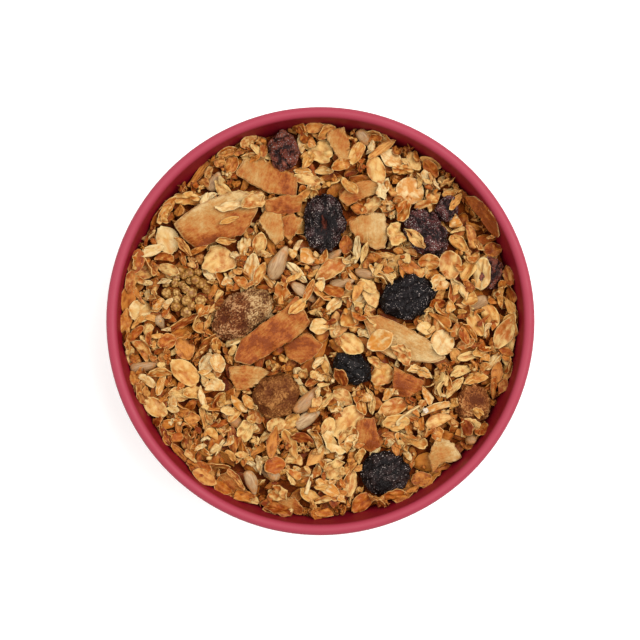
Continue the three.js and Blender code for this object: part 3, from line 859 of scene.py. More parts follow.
def kernel_model(number, sides, levels):
    """A drop along X, flattened, with a slight bend."""
    kernel = begin(bpy.ops.mesh.primitive_uv_sphere_add, segments=sides, ring_count=levels, radius=1)
    chance = random.Random(number)
    bend = chance.uniform(-0.12, 0.12)
    rims = []
    for vertex in kernel.data.vertices:
        z, y, x = vertex.co
        width = (1 - 0.32 * x) * (1 + 0.06 * math.sin(5 * x + number))
        facet = 1 + 0.07 * math.cos(3 * math.atan2(z, y) + number)
        across = y * KERNEL_SIZE[1] / 2 * facet + bend * (x * x - 0.4) * 4
        vertex.co = (x * KERNEL_SIZE[0] / 2, across * width, z * KERNEL_SIZE[2] / 2 * width)
        rims.append(abs(x))
    bpy.ops.object.mode_set(mode="EDIT")
    bpy.ops.mesh.select_all(action="SELECT")
    bpy.ops.mesh.normals_make_consistent(inside=False)
    bpy.ops.object.mode_set(mode="OBJECT")
    return model_arrays(kernel, rims)


KERNEL_MODELS = [kernel_model(n, sides=20, levels=16) for n in range(4)]


def kernel_finish():
    material, tree, shader = begin_material("sunflower_kernel", 0.4, 0.2)
    lie = attribute(tree, "lie", "Vector")
    looks = attribute(tree, "looks", "Vector")
    tone, toast, ends = parts_of(tree, looks)
    lines = vector_maths(tree, "MULTIPLY", lie, (0.25, 2.4, 2.4))
    colour = blend_colour(tree, tone, srgb(208, 174, 130), srgb(184, 142, 98))
    streaks = mottled(tree, lines, 1.2, 0.42, 0.66, 0.0, 0.6)
    colour = blend_colour(tree, streaks, colour, srgb(144, 100, 62))
    spots = maths(tree, "MULTIPLY_ADD", toast, 0.25, noise_of(tree, lie, 0.5, 2.0))
    colour = lay_over(tree, colour, srgb(196, 124, 56), spots, 0.56, 0.78, 0.6)
    colour = lay_over(tree, colour, srgb(132, 84, 44), ends, 0.86, 1.0, 0.6)
    tree.links.new(colour, shader.inputs["Base Color"])
    give_relief(tree, shader, noise_of(tree, lines, 1.2), 0.5, 0.3 * MM)
    return material


# Kernels that stand out in the photo: right, down, length and width in its pixels, and turn.
SEEN_KERNELS = (
    (278, 263, 38, 16, 64), (299, 245, 24, 12, 35), (307, 399, 38, 14, 45), (307, 419, 30, 14, 34),
    (238, 462, 28, 11, -70), (251, 481, 27, 12, -72), (142, 367, 29, 10, 8), (443, 187, 25, 17, -52),
    (341, 283, 27, 10, 10), (366, 274, 26, 10, -12), (363, 137, 20, 12, -55), (214, 182, 22, 13, 58),
    (160, 322, 19, 9, -75), (266, 473, 18, 7, -32), (470, 437, 18, 10, 80), (304, 293, 34, 11, -38),
)
SEEN_CEILING = RIM_MM - 3.4
SEEN_LIMITS = {"covering": 1.0, "keep": True, "ceiling": SEEN_CEILING}
kernels = []


def drop_kernel(x, y, turn, length, width, **limits):
    size = (length, width, width * 0.66)
    place = lay(x, y, turn, size, draw_lean(0.12, 0.1), **limits)
    if place is not None:
        scale = scale_to(size, KERNEL_SIZE)
        kernels.append((DRAW.choice(KERNEL_MODELS), place, scale, DRAW.random(), DRAW.random()))


for right, down, length, width, turn in SEEN_KERNELS:
    x, y = from_photo(right, down)
    length, width = length * PHOTO_SCALE, width * PHOTO_SCALE
    drop_kernel(x, y, math.radians(turn), length, width, **SEEN_LIMITS)
OTHER_KERNELS = 9
for _ in range(OTHER_KERNELS):
    x, y = lowest_spot(5)
    length = DRAW.uniform(6.5, 9.5)
    drop_kernel(x, y, DRAW.uniform(*ANY_TURN), length, length * DRAW.uniform(0.36, 0.46))

sunflower = join_copies("sunflower_kernels", kernels)
sunflower.data.materials.append(kernel_finish())
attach(sunflower, "root")
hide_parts("granola")

# ---- Oats on top, clusters and crumbs -----------------------------------------------------------
# The oats that show, then rough lumps that honey holds together, splinters, broken oats and crumbs,
# which fill what is left open between the larger pieces.

# Oats that stand out in the photo: right and down in it, length and width in its pixels, and turn in
# degrees, by kind and form.
SEEN_OATS = {
    ("pale", "fine"): (
        (167, 240, 30, 24, -55), (140, 311, 29, 24, 35), (512, 333, 38, 20, 62),
        (206, 364, 24, 18, 70), (217, 363, 22, 16, -75), (151, 409, 28, 18, -40),
        (318, 326, 22, 17, 0), (160, 384, 26, 9, 75), (161, 206, 34, 13, 58), (302, 171, 18, 8, 0),
        (324, 171, 22, 9, -5), (356, 249, 32, 8, 88), (301, 476, 29, 7, 5), (493, 361, 24, 10, 50),
        (247, 452, 15, 6, -65), (317, 392, 15, 6, 85), (317, 362, 16, 9, 45), (379, 340, 30, 22, 35),
        (409, 191, 31, 28, -20), (230, 208, 29, 11, 10),
    ),
    ("pale", "fine_creased"): (
        (480, 274, 34, 22, 82), (441, 342, 34, 25, 62), (390, 159, 26, 18, -30),
        (251, 267, 31, 16, 78), (296, 272, 30, 12, -45),
    ),
    ("pale", "fine_rough"): (
        (381, 190, 24, 14, 75), (437, 283, 22, 18, 10), (418, 370, 25, 11, -20), (364, 333, 14, 13, 0),
        (424, 333, 14, 13, 30), (243, 246, 21, 13, 70), (209, 272, 18, 14, -40),
    ),
    ("pale", "fine_broken"): (
        (386, 391, 22, 14, 60), (429, 396, 27, 14, -60), (435, 408, 32, 12, 22), (215, 387, 21, 20, 5),
        (456, 221, 20, 14, 30), (509, 304, 26, 12, -60), (253, 426, 26, 15, 42),
        (264, 434, 20, 13, 38), (315, 438, 24, 16, -55), (252, 465, 16, 9, -30),
        (339, 455, 12, 10, 60), (166, 218, 14, 13, 20), (165, 282, 17, 8, 5), (491, 421, 26, 9, -40),
        (459, 182, 11, 8, -20), (225, 279, 15, 14, 40), (271, 283, 32, 8, -40), (483, 358, 13, 11, 20),
        (488, 237, 11, 6, 10),
    ),
    ("golden", "fine"): (
        (392, 407, 32, 18, 25), (347, 421, 40, 26, 52), (184, 372, 36, 22, -38),
        (259, 244, 25, 15, 80), (403, 212, 24, 16, 70), (349, 188, 26, 12, -42),
        (355, 154, 28, 14, 63), (247, 142, 17, 9, -10), (224, 152, 19, 9, 25), (219, 162, 13, 12, 60),
        (449, 265, 24, 30, 10), (474, 323, 30, 15, -62), (458, 243, 24, 14, -40),
        (478, 226, 34, 11, -75), (291, 421, 22, 14, 42), (349, 482, 30, 15, 80),
        (234, 413, 26, 10, 55), (169, 270, 31, 12, -20), (225, 241, 25, 7, 0), (259, 274, 26, 11, 65),
        (308, 291, 26, 8, 65), (363, 252, 23, 7, 75), (387, 256, 22, 7, -10), (178, 394, 22, 16, -10),
        (204, 419, 26, 8, -75), (453, 387, 27, 10, 50), (416, 421, 25, 8, -25), (371, 404, 22, 8, 90),
        (229, 221, 21, 6, 20),
    ),
    ("golden", "fine_creased"): (
        (350, 344, 30, 22, -40), (342, 397, 24, 17, -35), (428, 262, 24, 18, 5),
        (360, 406, 22, 11, -75), (297, 307, 24, 12, 40),
    ),
    ("golden", "fine_rough"): (
        (218, 260, 33, 30, 10), (401, 353, 24, 17, -50), (381, 374, 25, 24, 20),
        (346, 436, 26, 18, 60), (371, 206, 22, 16, 40), (393, 234, 26, 19, 65), (330, 269, 34, 19, 35),
        (320, 152, 28, 24, -20), (253, 203, 26, 17, 15), (307, 180, 26, 14, -10),
        (279, 492, 24, 15, -25), (333, 467, 26, 16, 35), (413, 441, 30, 15, -12),
        (188, 199, 28, 15, -8), (402, 170, 23, 12, -10), (414, 239, 27, 12, -45),
        (459, 371, 24, 12, 20), (474, 378, 23, 12, 15), (467, 425, 22, 18, 40), (192, 392, 19, 15, 0),
        (245, 429, 25, 15, 60), (340, 166, 20, 13, 20), (307, 159, 18, 14, 50),
    ),
    ("golden", "fine_broken"): (
        (472, 297, 26, 18, 25), (141, 350, 26, 18, -50), (293, 460, 18, 20, 0), (325, 510, 24, 14, 5),
        (239, 283, 21, 15, -45), (435, 199, 22, 16, -20), (376, 361, 21, 13, -30),
        (304, 371, 14, 18, 0), (408, 252, 19, 13, -30), (323, 461, 22, 12, -50),
        (360, 455, 19, 13, 70), (147, 331, 18, 14, 80), (452, 404, 16, 13, 60), (407, 437, 25, 7, -15),
        (222, 434, 25, 8, -50), (219, 292, 22, 8, 60), (376, 258, 19, 6, -50), (368, 392, 24, 6, -55),
    ),
    ("amber", "fine"): (
        (191, 176, 52, 10, 41), (199, 174, 36, 8, 50), (417, 151, 33, 9, -32), (183, 322, 40, 10, 28),
        (381, 149, 34, 9, 35), (430, 168, 22, 15, -50), (167, 341, 21, 16, 25),
        (469, 332, 28, 10, -55), (491, 250, 20, 16, 10), (454, 355, 19, 12, -60),
        (231, 165, 19, 15, 70), (453, 203, 25, 9, 55), (197, 251, 27, 6, 22), (236, 477, 27, 8, -50),
        (185, 247, 28, 9, -48), (191, 418, 17, 14, 0), (187, 442, 23, 14, 100), (313, 380, 22, 9, 35),
        (396, 499, 26, 15, 8),
    ),
    ("amber", "fine_broken"): (
        (381, 173, 32, 22, -30), (239, 151, 15, 12, 30), (375, 137, 15, 12, 10), (150, 227, 11, 8, 70),
        (164, 258, 20, 14, 0), (443, 170, 20, 11, -52),
    ),
    ("toasted", "fine"): (
        (345, 245, 20, 14, 90), (274, 464, 24, 18, 15), (361, 502, 26, 17, 45), (423, 483, 22, 16, 12),
        (340, 376, 27, 14, -65), (184, 348, 26, 20, -60), (179, 423, 27, 13, -40),
        (165, 438, 31, 9, -55), (152, 286, 18, 13, 60), (179, 453, 28, 8, -48),
    ),
    ("toasted", "fine_broken"): (
        (463, 424, 24, 18, -60), (447, 471, 26, 14, 25), (397, 148, 17, 11, 80),
    ),
}
SEEN_THICKNESS = 0.9
for (kind, form), places in SEEN_OATS.items():
    for right, down, length, width, turn in places:
        size = (length * PHOTO_SCALE, width * PHOTO_SCALE, SEEN_THICKNESS)
        lean = draw_lean(0.08, 0.12)
        where = (*from_photo(right, down), math.radians(turn), size)
        if not drop(*where, lean, form, kind, **SEEN_LIMITS):
            drop(*where, (0, 0), form, kind, sink=3, **SEEN_LIMITS)


def scatter_splinters(count):
    """Long thin splinters of oat that lie in all directions."""
    for _ in range(count):
        length = DRAW.uniform(4.5, 9.5)
        size = (length, DRAW.uniform(1.1, 2.2), DRAW.uniform(0.6, 1.0))
        lean = draw_lean(0.15, 0.4)
        drop(*lowest_spot(4), DRAW.uniform(*ANY_TURN), size, lean, "broken")


def heap_clusters(count):
    """Rough lumps of small pieces that honey has stuck together."""
    for _ in range(count):
        x, y = lowest_spot(3)
        kind = draw_kind()
        for _ in range(DRAW.randint(6, 12)):
            size = draw_size((1.4, 3.9), (0.5, 0.85), (0.5, 0.9))
            lean = draw_lean(0.4, 0.6)
            spot = (x + DRAW.gauss(0, 1.2), y + DRAW.gauss(0, 1.2))
            drop(*spot, DRAW.uniform(*ANY_TURN), size, lean, "chunk", kind, covering=0.1)


def fill_holes(count, deeper_than):
    """Lets small oats down in what holes are left, but not in the gaps of the photo."""
    tried = (np.hypot(GRID_X, GRID_Y) > WALL_REACH - 0.8) | gaps
    level = heap_top(GRID_X, GRID_Y) - deeper_than
    for _ in range(count):
        holes = np.argwhere((surface < level) & ~tried)
        if not len(holes):
            return
        i, j = holes[DRAW.randrange(len(holes))]
        tried[i - 1 : i + 2, j - 1 : j + 2] = True
        size = draw_size((3.0, 6.0), (0.45, 0.75), (0.6, 0.9))
        lean = draw_lean(0.3, 0.4)
        spot = (float(GRID_X[i, j]), float(GRID_Y[i, j]))
        drop(*spot, DRAW.uniform(*ANY_TURN), size, lean, "broken", covering=0.5, sink=35)


def crumb_model(number):
    """A small angular lump."""
    crumb = begin(bpy.ops.mesh.primitive_ico_sphere_add, subdivisions=2, radius=1)
    rims = []
    for vertex in crumb.data.vertices:
        vertex.co *= 1 + 0.55 * noise.noise(vertex.co * 1.6 + Vector((number * 3.3, 0, 0)))
        rims.append(0.5)
    return model_arrays(crumb, rims)


def scatter_crumbs(count):
    """Lets single crumbs down at low spots."""
    for _ in range(count):
        x, y = lowest_spot(4)
        width = DRAW.uniform(0.7, 1.9)
        size = (width, width * 0.85, width * 0.7)
        place = lay(x, y, DRAW.uniform(*ANY_TURN), size, covering=0.0)
        kind, model, looks = draw_kind(), DRAW.choice(CRUMB_MODELS), (DRAW.random(), DRAW.random())
        if place is not None:
            heap_pieces[kind].append((model, place, tuple(side / 2 for side in size), *looks))


BEAD_PX = (424, 410)
BEAD_WIDTH = 1.7


def glint_bead():
    """One puffed grain that lies apart, at the right, white and shiny. Its white is partly a painted
    highlight, standing for a glint.
    """
    limits = {"covering": 1.0, "ceiling": SEEN_CEILING, "sink": 5}
    place = lay(*from_photo(*BEAD_PX), 0, (BEAD_WIDTH,) * 3, **limits)
    bead = join_copies("white_puffed_bead", [(PUFFED_MODELS[0], place, (BEAD_WIDTH / 2,) * 3, 0, 0)])
    colours = (srgb(252, 244, 228), srgb(244, 228, 200), srgb(226, 196, 150))
    bead.data.materials.append(puffed_finish("white_puffed_bead", *colours))
    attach(bead, "root")
    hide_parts("granola")


CRUMB_MODELS = [crumb_model(n) for n in range(6)]

scatter_oats(470, tries=6, longest=10.4, steep=0.2)
scatter_splinters(110)
scatter_oats(270, tries=10, longest=8.2, steep=0.3)
heap_clusters(30)
scatter_oats(110, tries=14, longest=5.2, steep=0.3, form="chunk")
line_wall(70)
line_wall(36, first=150, last=320, sink=30)
fill_holes(700, deeper_than=0.9)
scatter_crumbs(200)
glint_bead()

for kind, copies in heap_pieces.items():
    oats = join_copies(f"{kind}_oats", copies)
    oats.data.materials.append(OAT_FINISHES[kind])
    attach(oats, "root")
    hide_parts("granola")

# ---- Raisins ------------------------------------------------------------------------------------
# Dried grapes, nearly black to maroon, in deep irregular wrinkles, with grains of sugar on them.
# Each keeps the size and the turn of its solid. The one at the top has a reddish hollow.


def own_axes(name):
    """A solid's middle, its own axes with the longest first, and how far it reaches along them."""
    corners = np.array([vertex.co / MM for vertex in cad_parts[name].data.vertices])
    middle = (corners.min(0) + corners.max(0)) / 2
    axes = np.linalg.svd(corners - corners.mean(0), full_matrices=False)[2]
    axes[2] = np.cross(axes[0], axes[1])
    if axes[2][2] < 0:
        axes[1:] *= -1
    reach = np.abs((corners - middle) @ axes.T).max(0)
    return middle, axes, reach


def ridged(point, scale, offset=0.0):
    """Noise with sharp valleys: 0 in a valley and up to 1 between them."""
    value = abs(noise.noise(Vector(point) / scale + Vector((offset, 0, 0)))) * 2.2
    return min(value, 1)


def own_ball(name, piece_name, detail, relief):
    """A ball with the size and turn of a solid. relief gives a height in mm at a point on it and how
    much of a ridge it is there, which is kept as the attribute crest for the finish."""
    middle, axes, reach = own_axes(name)
    ball = begin(bpy.ops.mesh.primitive_ico_sphere_add, subdivisions=detail, radius=1)
    ball.name = piece_name
    crests = []
    for vertex in ball.data.vertices:
        unit = vertex.co.copy()
        point = np.array(unit) * reach
        height, crest = relief(point, unit)
        point *= 1 + height / float(np.linalg.norm(point))
        vertex.co = Vector((point @ axes + middle) * MM)
        crests.append(crest)
    layer = ball.data.attributes.new("crest", "FLOAT", "POINT")
    layer.data.foreach_set("value", np.array(crests, np.float32))
    bpy.ops.object.shade_smooth()
    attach(ball, "root")
    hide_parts(name)
    return ball


def raisin_skin_group():
    """Dark skin, painted nearly black in the folds as painted shade, red-brown at the bottom of a hollow,
    dusted with grains of sugar of two sizes."""
    inputs = {"Dark": "Color", "Light": "Color", "Sugar": "Float"}
    group, given, made = begin_group("raisin_skin", inputs, {"Color": "Color", "Height": "Float"})
    place = object_place(group)
    crest = attribute(group, "crest")
    colour = blend_colour(group, mottled(group, place, 300, 0.4, 0.66), given["Dark"], given["Light"])
    skin = noise_of(group, place, 2600, 2.0, 0.7)
    colour = lay_over(group, colour, given["Light"], skin, 0.5, 0.7, 0.5)
    # Painted shade: nearly black in the folds.
    colour = lay_over(group, colour, srgb(12, 5, 5), crest, 0.0, -0.45, 0.92)
    colour = lay_over(group, colour, srgb(112, 52, 36), crest, -0.72, -1.15, 0.7)
    grains = 0.0
    for scale, share in ((1650.0, 0.6), (2700.0, 1.3)):
        cells = add(group, "ShaderNodeTexVoronoi", {"Vector": place, "Scale": scale})
        drawn = add(group, "ShaderNodeSeparateColor", {0: cells.outputs["Color"]}).outputs[0]
        some = maths(group, "LESS_THAN", drawn, maths(group, "MULTIPLY", given["Sugar"], share))
        grain = maths(group, "MULTIPLY", stretch(group, cells.outputs["Distance"], 0.4, 0.2), some)
        grains = maths(group, "MAXIMUM", grain, grains)
    grains = maths(group, "MULTIPLY", grains, stretch(group, crest, -0.5, 0.1))
    colour = blend_colour(group, maths(group, "MULTIPLY", grains, 0.78), colour, srgb(222, 204, 194))
    group.links.new(colour, made["Color"])
    group.links.new(maths(group, "ADD", grains, skin), made["Height"])
    return group


RAISIN_SKIN = raisin_skin_group()


def raisin_finish(name, dark, light, sugar):
    material, tree, shader = begin_material(name, 0.45, 0.14)
    sockets = {"Dark": dark, "Light": light, "Sugar": sugar}
    skin = add(tree, "ShaderNodeGroup", sockets, node_tree=RAISIN_SKIN).outputs
    tree.links.new(skin["Color"], shader.inputs["Base Color"])
    give_relief(tree, shader, skin["Height"], 0.9, 0.3 * MM)
    return material


RAISIN_FINISHES = {
    "sugared": raisin_finish("sugared_raisin", srgb(22, 9, 10), srgb(66, 36, 36), 0.62),
    "black": raisin_finish("black_raisin", srgb(13, 8, 10), srgb(36, 28, 29), 0.26),
    "dull": raisin_finish("dull_raisin", srgb(18, 9, 9), srgb(52, 37, 35), 0.26),
    "purple": raisin_finish("purple_raisin", srgb(56, 22, 22), srgb(108, 56, 52), 0.6),
    "maroon": raisin_finish("maroon_raisin", srgb(96, 38, 26), srgb(152, 86, 66), 0.36),
    "plain": raisin_finish("bare_raisin", srgb(14, 11, 11), srgb(38, 32, 31), 0.12),
}
RAISIN_KINDS = ("maroon", "sugared", "purple", "black", "maroon", "purple", "plain", "dull")
LARGE_RAISINS = (1, 2, 3, 4, 8)
HOLLOW_RAISIN = 2

# noise_vector shifts its noise by a seed that is the clock's unless it is set.
noise.seed_set(4)

FOLD_WIDTH = 3.4
CRINKLE_WIDTH = 1.3
GRAIN_WIDTH = 0.55
DENT_WIDTH = 4.2
HOLLOW_DEPTH = 1.9


def raisin_relief(number):
    """Broad dents, folds, crinkles between them and a grained skin, and a hollow in one raisin."""

    def relief(point, unit):
        bent = Vector(point) + 1.1 * noise.noise_vector(Vector(point) / 2.6)
        folds = ridged((bent.x * 0.6, bent.y, bent.z), FOLD_WIDTH, number * 9.1)
        crinkles = ridged((bent.x * 0.7, bent.y, bent.z), CRINKLE_WIDTH, number * 5.3)
        skin = ridged(bent, GRAIN_WIDTH, number * 2.3)
        crest = 0.62 * (folds - 0.7) + 0.36 * (crinkles - 0.55) + 0.26 * (skin - 0.5)
        dents = noise.noise(Vector(point) / DENT_WIDTH + Vector((0, 0, number * 6.1)))
        hollow = 0.0
        if number == HOLLOW_RAISIN and unit.z > 0:
            hollow = HOLLOW_DEPTH * math.exp(-(((unit.x + 0.05) / 0.42) ** 2) - (unit.y / 0.3) ** 2)
        return crest + 0.9 * dents - hollow, crest - 0.5 * hollow

    return relief


for number, kind in enumerate(RAISIN_KINDS, 1):
    detail = 6 if number in LARGE_RAISINS else 5
    names = (f"raisin_{number:02d}", f"wrinkled_raisin_{number:02d}")
    raisin = own_ball(*names, detail, raisin_relief(number))
    raisin.data.materials.append(RAISIN_FINISHES[kind])

# ---- Mulberries ---------------------------------------------------------------------------------
# Dried white mulberries, brown to beige, each an oval of small lumps that have shrunk to a crumbly
# crust with a lace of fine bright threads on it, and dark red-brown in the hollows, partly their own
# colour and partly painted shade.

THREAD_WIDTH = 0.6
FINE_THREAD_WIDTH = 0.33


def mulberry_relief(number, lump_width, lumpy, threads):
    """Lumps of a width in mm with narrow clefts between them, and fine raised threads on them."""

    def relief(point, _):
        bent = Vector(point) + 0.9 * noise.noise_vector(Vector(point) / 1.7)
        cells, seeds = noise.voronoi(bent / lump_width + Vector((number * 7.7, 0, 0)))
        lump = min((cells[1] - cells[0]) / 0.4, 1)
        apart = noise.noise(seeds[0] * 3.1 + Vector((0, 4.4, 0)))
        thread = 1 - min(abs(noise.noise(bent / THREAD_WIDTH)) * 3.0, 1)
        fine = 1 - min(abs(noise.noise(bent / FINE_THREAD_WIDTH + Vector((9, 0, 0)))) * 3.0, 1)
        broad = noise.noise(Vector(point) / 3.5 + Vector((0, number * 3.1, 0)))
        lumps = lumpy * (lump - 0.65) + 0.45 * apart * lump
        lace = threads * (0.65 * thread + 0.45 * fine - 0.45)
        return lumps + lace + 0.9 * broad - 0.15, 0.4 * lumps + 1.25 * lace + 0.4 * broad - 0.02

    return relief


def mulberry_crust_group():
    """Red-brown in clefts, partly its own colour and partly painted shade, brown on the lumps, and bright
    on the threads.
    """
    inputs = dict.fromkeys(("Dark", "Middle", "Light"), "Color") | {"Pale From": "Float"}
    group, given, made = begin_group("mulberry_crust", inputs, {"Color": "Color", "Height": "Float"})
    place = object_place(group)
    crest = attribute(group, "crest")
    grains = noise_of(group, place, 1900, 3.0, 0.65)
    along = parts_of(group, place)["X"]
    along = maths(group, "MULTIPLY_ADD", noise_of(group, place, 240, 2.0), 6 * MM, along)
    beige = stretch(group, maths(group, "SUBTRACT", along, given["Pale From"]), 0.0, 4 * MM)
    part_beige = maths(group, "MULTIPLY", beige, 0.75)
    middle = blend_colour(group, part_beige, given["Middle"], srgb(182, 136, 84))
    light = blend_colour(group, beige, given["Light"], srgb(216, 178, 126))
    clouds = mottled(group, place, 210, 0.3, 0.5, 0.35, 1.0, 2.0)
    colour = blend_colour(group, clouds, given["Dark"], middle)
    level = maths(group, "MULTIPLY_ADD", grains, 0.5, maths(group, "ADD", crest, -0.25))
    colour = lay_over(group, colour, light, level, 0.02, 0.22, 0.9)
    # The clefts are darker, partly their own colour and partly painted shade.
    colour = lay_over(group, colour, given["Dark"], level, -0.02, -0.25, 0.85)
    group.links.new(colour, made["Color"])
    group.links.new(grains, made["Height"])
    return group


MULBERRY_CRUST = mulberry_crust_group()


def mulberry_finish(name, pale_from, dark, middle, light):
    """A mulberry's crust, beige from a place along X on."""
    material, tree, shader = begin_material(name, 0.6, 0.1)
    sockets = {"Dark": dark, "Middle": middle, "Light": light, "Pale From": pale_from}
    crust = add(tree, "ShaderNodeGroup", sockets, node_tree=MULBERRY_CRUST).outputs
    tree.links.new(crust["Color"], shader.inputs["Base Color"])
    give_relief(tree, shader, crust["Height"], 0.8, 0.4 * MM)
    return material


# One mulberry is beige from here to its right end. The other ones are beige nowhere.
BEIGE_END = from_photo(252, 305)[0] * MM
NOWHERE = 1000 * MM

# For each, the width of its lumps and how high they and the threads are, in mm, and its finish.
MULBERRIES = (
    (2.6, 0.36, 0.62, "beige_mulberry", BEIGE_END, (84, 34, 12), (128, 70, 32), (198, 146, 98)),
    (2.4, 0.36, 0.36, "brown_mulberry", NOWHERE, (94, 42, 14), (134, 78, 34), (184, 124, 66)),
    (2.9, 0.42, 0.34, "dark_mulberry", NOWHERE, (92, 38, 14), (160, 94, 46), (220, 160, 98)),
)
for number, (lump_width, lumpy, threads, finish, pale_from, *colours) in enumerate(MULBERRIES, 1):
    names = (f"mulberry_{number:02d}", f"crusted_mulberry_{number:02d}")
    relief = mulberry_relief(number, lump_width, lumpy, threads)
    mulberry = own_ball(*names, detail=6, relief=relief)
    colours = [srgb(*colour) for colour in colours]
    mulberry.data.materials.append(mulberry_finish(finish, pale_from, *colours))

# ---- Coconut chips ------------------------------------------------------------------------------
# Thin shavings of coconut, toasted from cream to orange-brown, curved, with broken straight edges and
# a thin brighter rim. Each lies on the curve of its solid, with its outline from the photo's pixels.

CHIPS = {
    1: ((235, 175), (244, 156), (262, 159), (282, 168), (297, 177), (295, 197), (266, 193),
        (250, 184)),
    2: ((173, 225), (190, 211), (214, 198), (241, 191), (253, 196), (265, 191), (257, 211),
        (250, 226), (240, 236), (215, 243), (196, 250), (183, 238)),
    3: ((262, 201), (283, 196), (303, 196), (300, 212), (283, 215), (266, 212)),
    4: ((258, 222), (265, 208), (281, 213), (284, 238), (275, 246), (266, 234)),
    5: ((280, 216), (292, 214), (302, 220), (297, 232), (289, 241), (282, 236)),
    6: ((233, 361), (240, 340), (262, 324), (286, 307), (297, 294), (303, 309), (309, 322),
        (302, 333), (271, 352), (250, 364)),
    7: ((282, 346), (306, 332), (323, 345), (312, 358), (300, 364), (286, 357)),
    8: ((228, 367), (246, 364), (259, 367), (269, 372), (260, 380), (249, 388), (236, 391),
        (230, 378)),
    9: ((348, 222), (360, 216), (383, 213), (387, 232), (384, 249), (373, 249), (359, 243),
        (350, 232)),
    10: ((338, 199), (345, 188), (362, 181), (380, 182), (377, 193), (359, 201), (346, 207)),
    11: ((461, 196), (471, 197), (483, 207), (493, 222), (497, 239), (489, 234), (480, 222),
         (470, 208)),
    12: ((362, 318), (378, 315), (397, 323), (413, 331), (430, 342), (446, 358), (432, 363),
         (412, 361), (394, 359), (380, 352), (368, 336)),
    13: ((392, 365), (406, 373), (422, 380), (421, 390), (402, 397), (392, 395)),
    14: ((357, 419), (372, 416), (376, 430), (380, 445), (370, 451), (358, 447), (352, 436)),
    15: ((427, 456), (430, 446), (435, 436), (446, 439), (452, 442), (460, 456), (450, 461),
         (438, 463), (431, 473)),
    16: ((216, 475), (228, 470), (240, 484), (255, 497), (252, 504), (230, 498), (217, 489)),
    17: ((276, 497), (294, 496), (303, 506), (301, 514), (290, 512), (280, 506)),
    18: ((327, 133), (343, 128), (348, 143), (350, 150), (346, 165), (339, 163), (331, 150),
         (325, 139)),
}
CHIP_THICKNESS = 0.75

# For each chip, how toasted it is, from 0 to 1, the direction in which it gets darker and by how much,
# and the direction of its fibres, in degrees.
CHIP_TOAST = (
    (0.62, -30, 0.15, 70), (0.56, -75, 0.5, 30), (0.82, -60, 0.15, 10), (0.46, 60, 0.2, 70),
    (0.68, -30, 0.15, 80), (0.86, -140, 0.12, 42), (0.9, -90, 0.1, 0), (0.56, 180, 0.2, 0),
    # Chip 11 lies in the shade of the wall: its toast of 1.0 is partly painted shade.
    (0.4, 185, 0.42, 90), (0.62, 150, 0.15, 20), (1.0, -45, 0.1, -55), (0.32, 140, 0.3, -25),
    (0.92, -60, 0.15, -20), (0.82, -10, 0.25, 80), (0.34, -140, 0.3, 20), (0.76, -90, 0.15, -40),
    (0.62, 0, 0.15, 0), (0.55, 45, 0.15, 80),
)


def reach_at(outline, angle):
    """How far an outline about the origin reaches in a direction."""
    ray_x, ray_y = math.cos(angle), math.sin(angle)
    best = 0.3
    for (x1, y1), (x2, y2) in zip(outline, outline[1:] + outline[:1]):
        side_x, side_y = x2 - x1, y2 - y1
        cross = ray_x * side_y - ray_y * side_x
        if abs(cross) < 1e-9:
            continue
        along_ray = (x1 * side_y - y1 * side_x) / cross
        share = (x1 * ray_y - y1 * ray_x) / cross
        if -1e-6 <= share <= 1 + 1e-6 and along_ray > best:
            best = along_ray
    return best


def curve_of(name):
    """The height and slope of a solid's middle surface at x, y, as a fitted curved sheet, in mm."""
    corners = np.array([vertex.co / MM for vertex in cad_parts[name].data.vertices])
    middle = corners.mean(0)
    x, y = (corners[:, :2] - middle[:2]).T
    terms = np.stack([np.ones_like(x), x, y, x * x, x * y, y * y], 1)
    fit = np.linalg.lstsq(terms, corners[:, 2], rcond=None)[0]

    def sheet(at_x, at_y):
        dx, dy = at_x - middle[0], at_y - middle[1]
        height = fit @ (1, dx, dy, dx * dx, dx * dy, dy * dy)
        slope_x = fit[1] + 2 * fit[3] * dx + fit[4] * dy
        slope_y = fit[2] + fit[4] * dx + 2 * fit[5] * dy
        return height, Vector((-slope_x, -slope_y, 1)).normalized()

    return sheet


def rim_noise(outwards, scale, seed):
    """Noise that goes round the rim and meets itself. outwards is a direction."""
    return noise.noise(scale * outwards + Vector((0, 0, seed)))


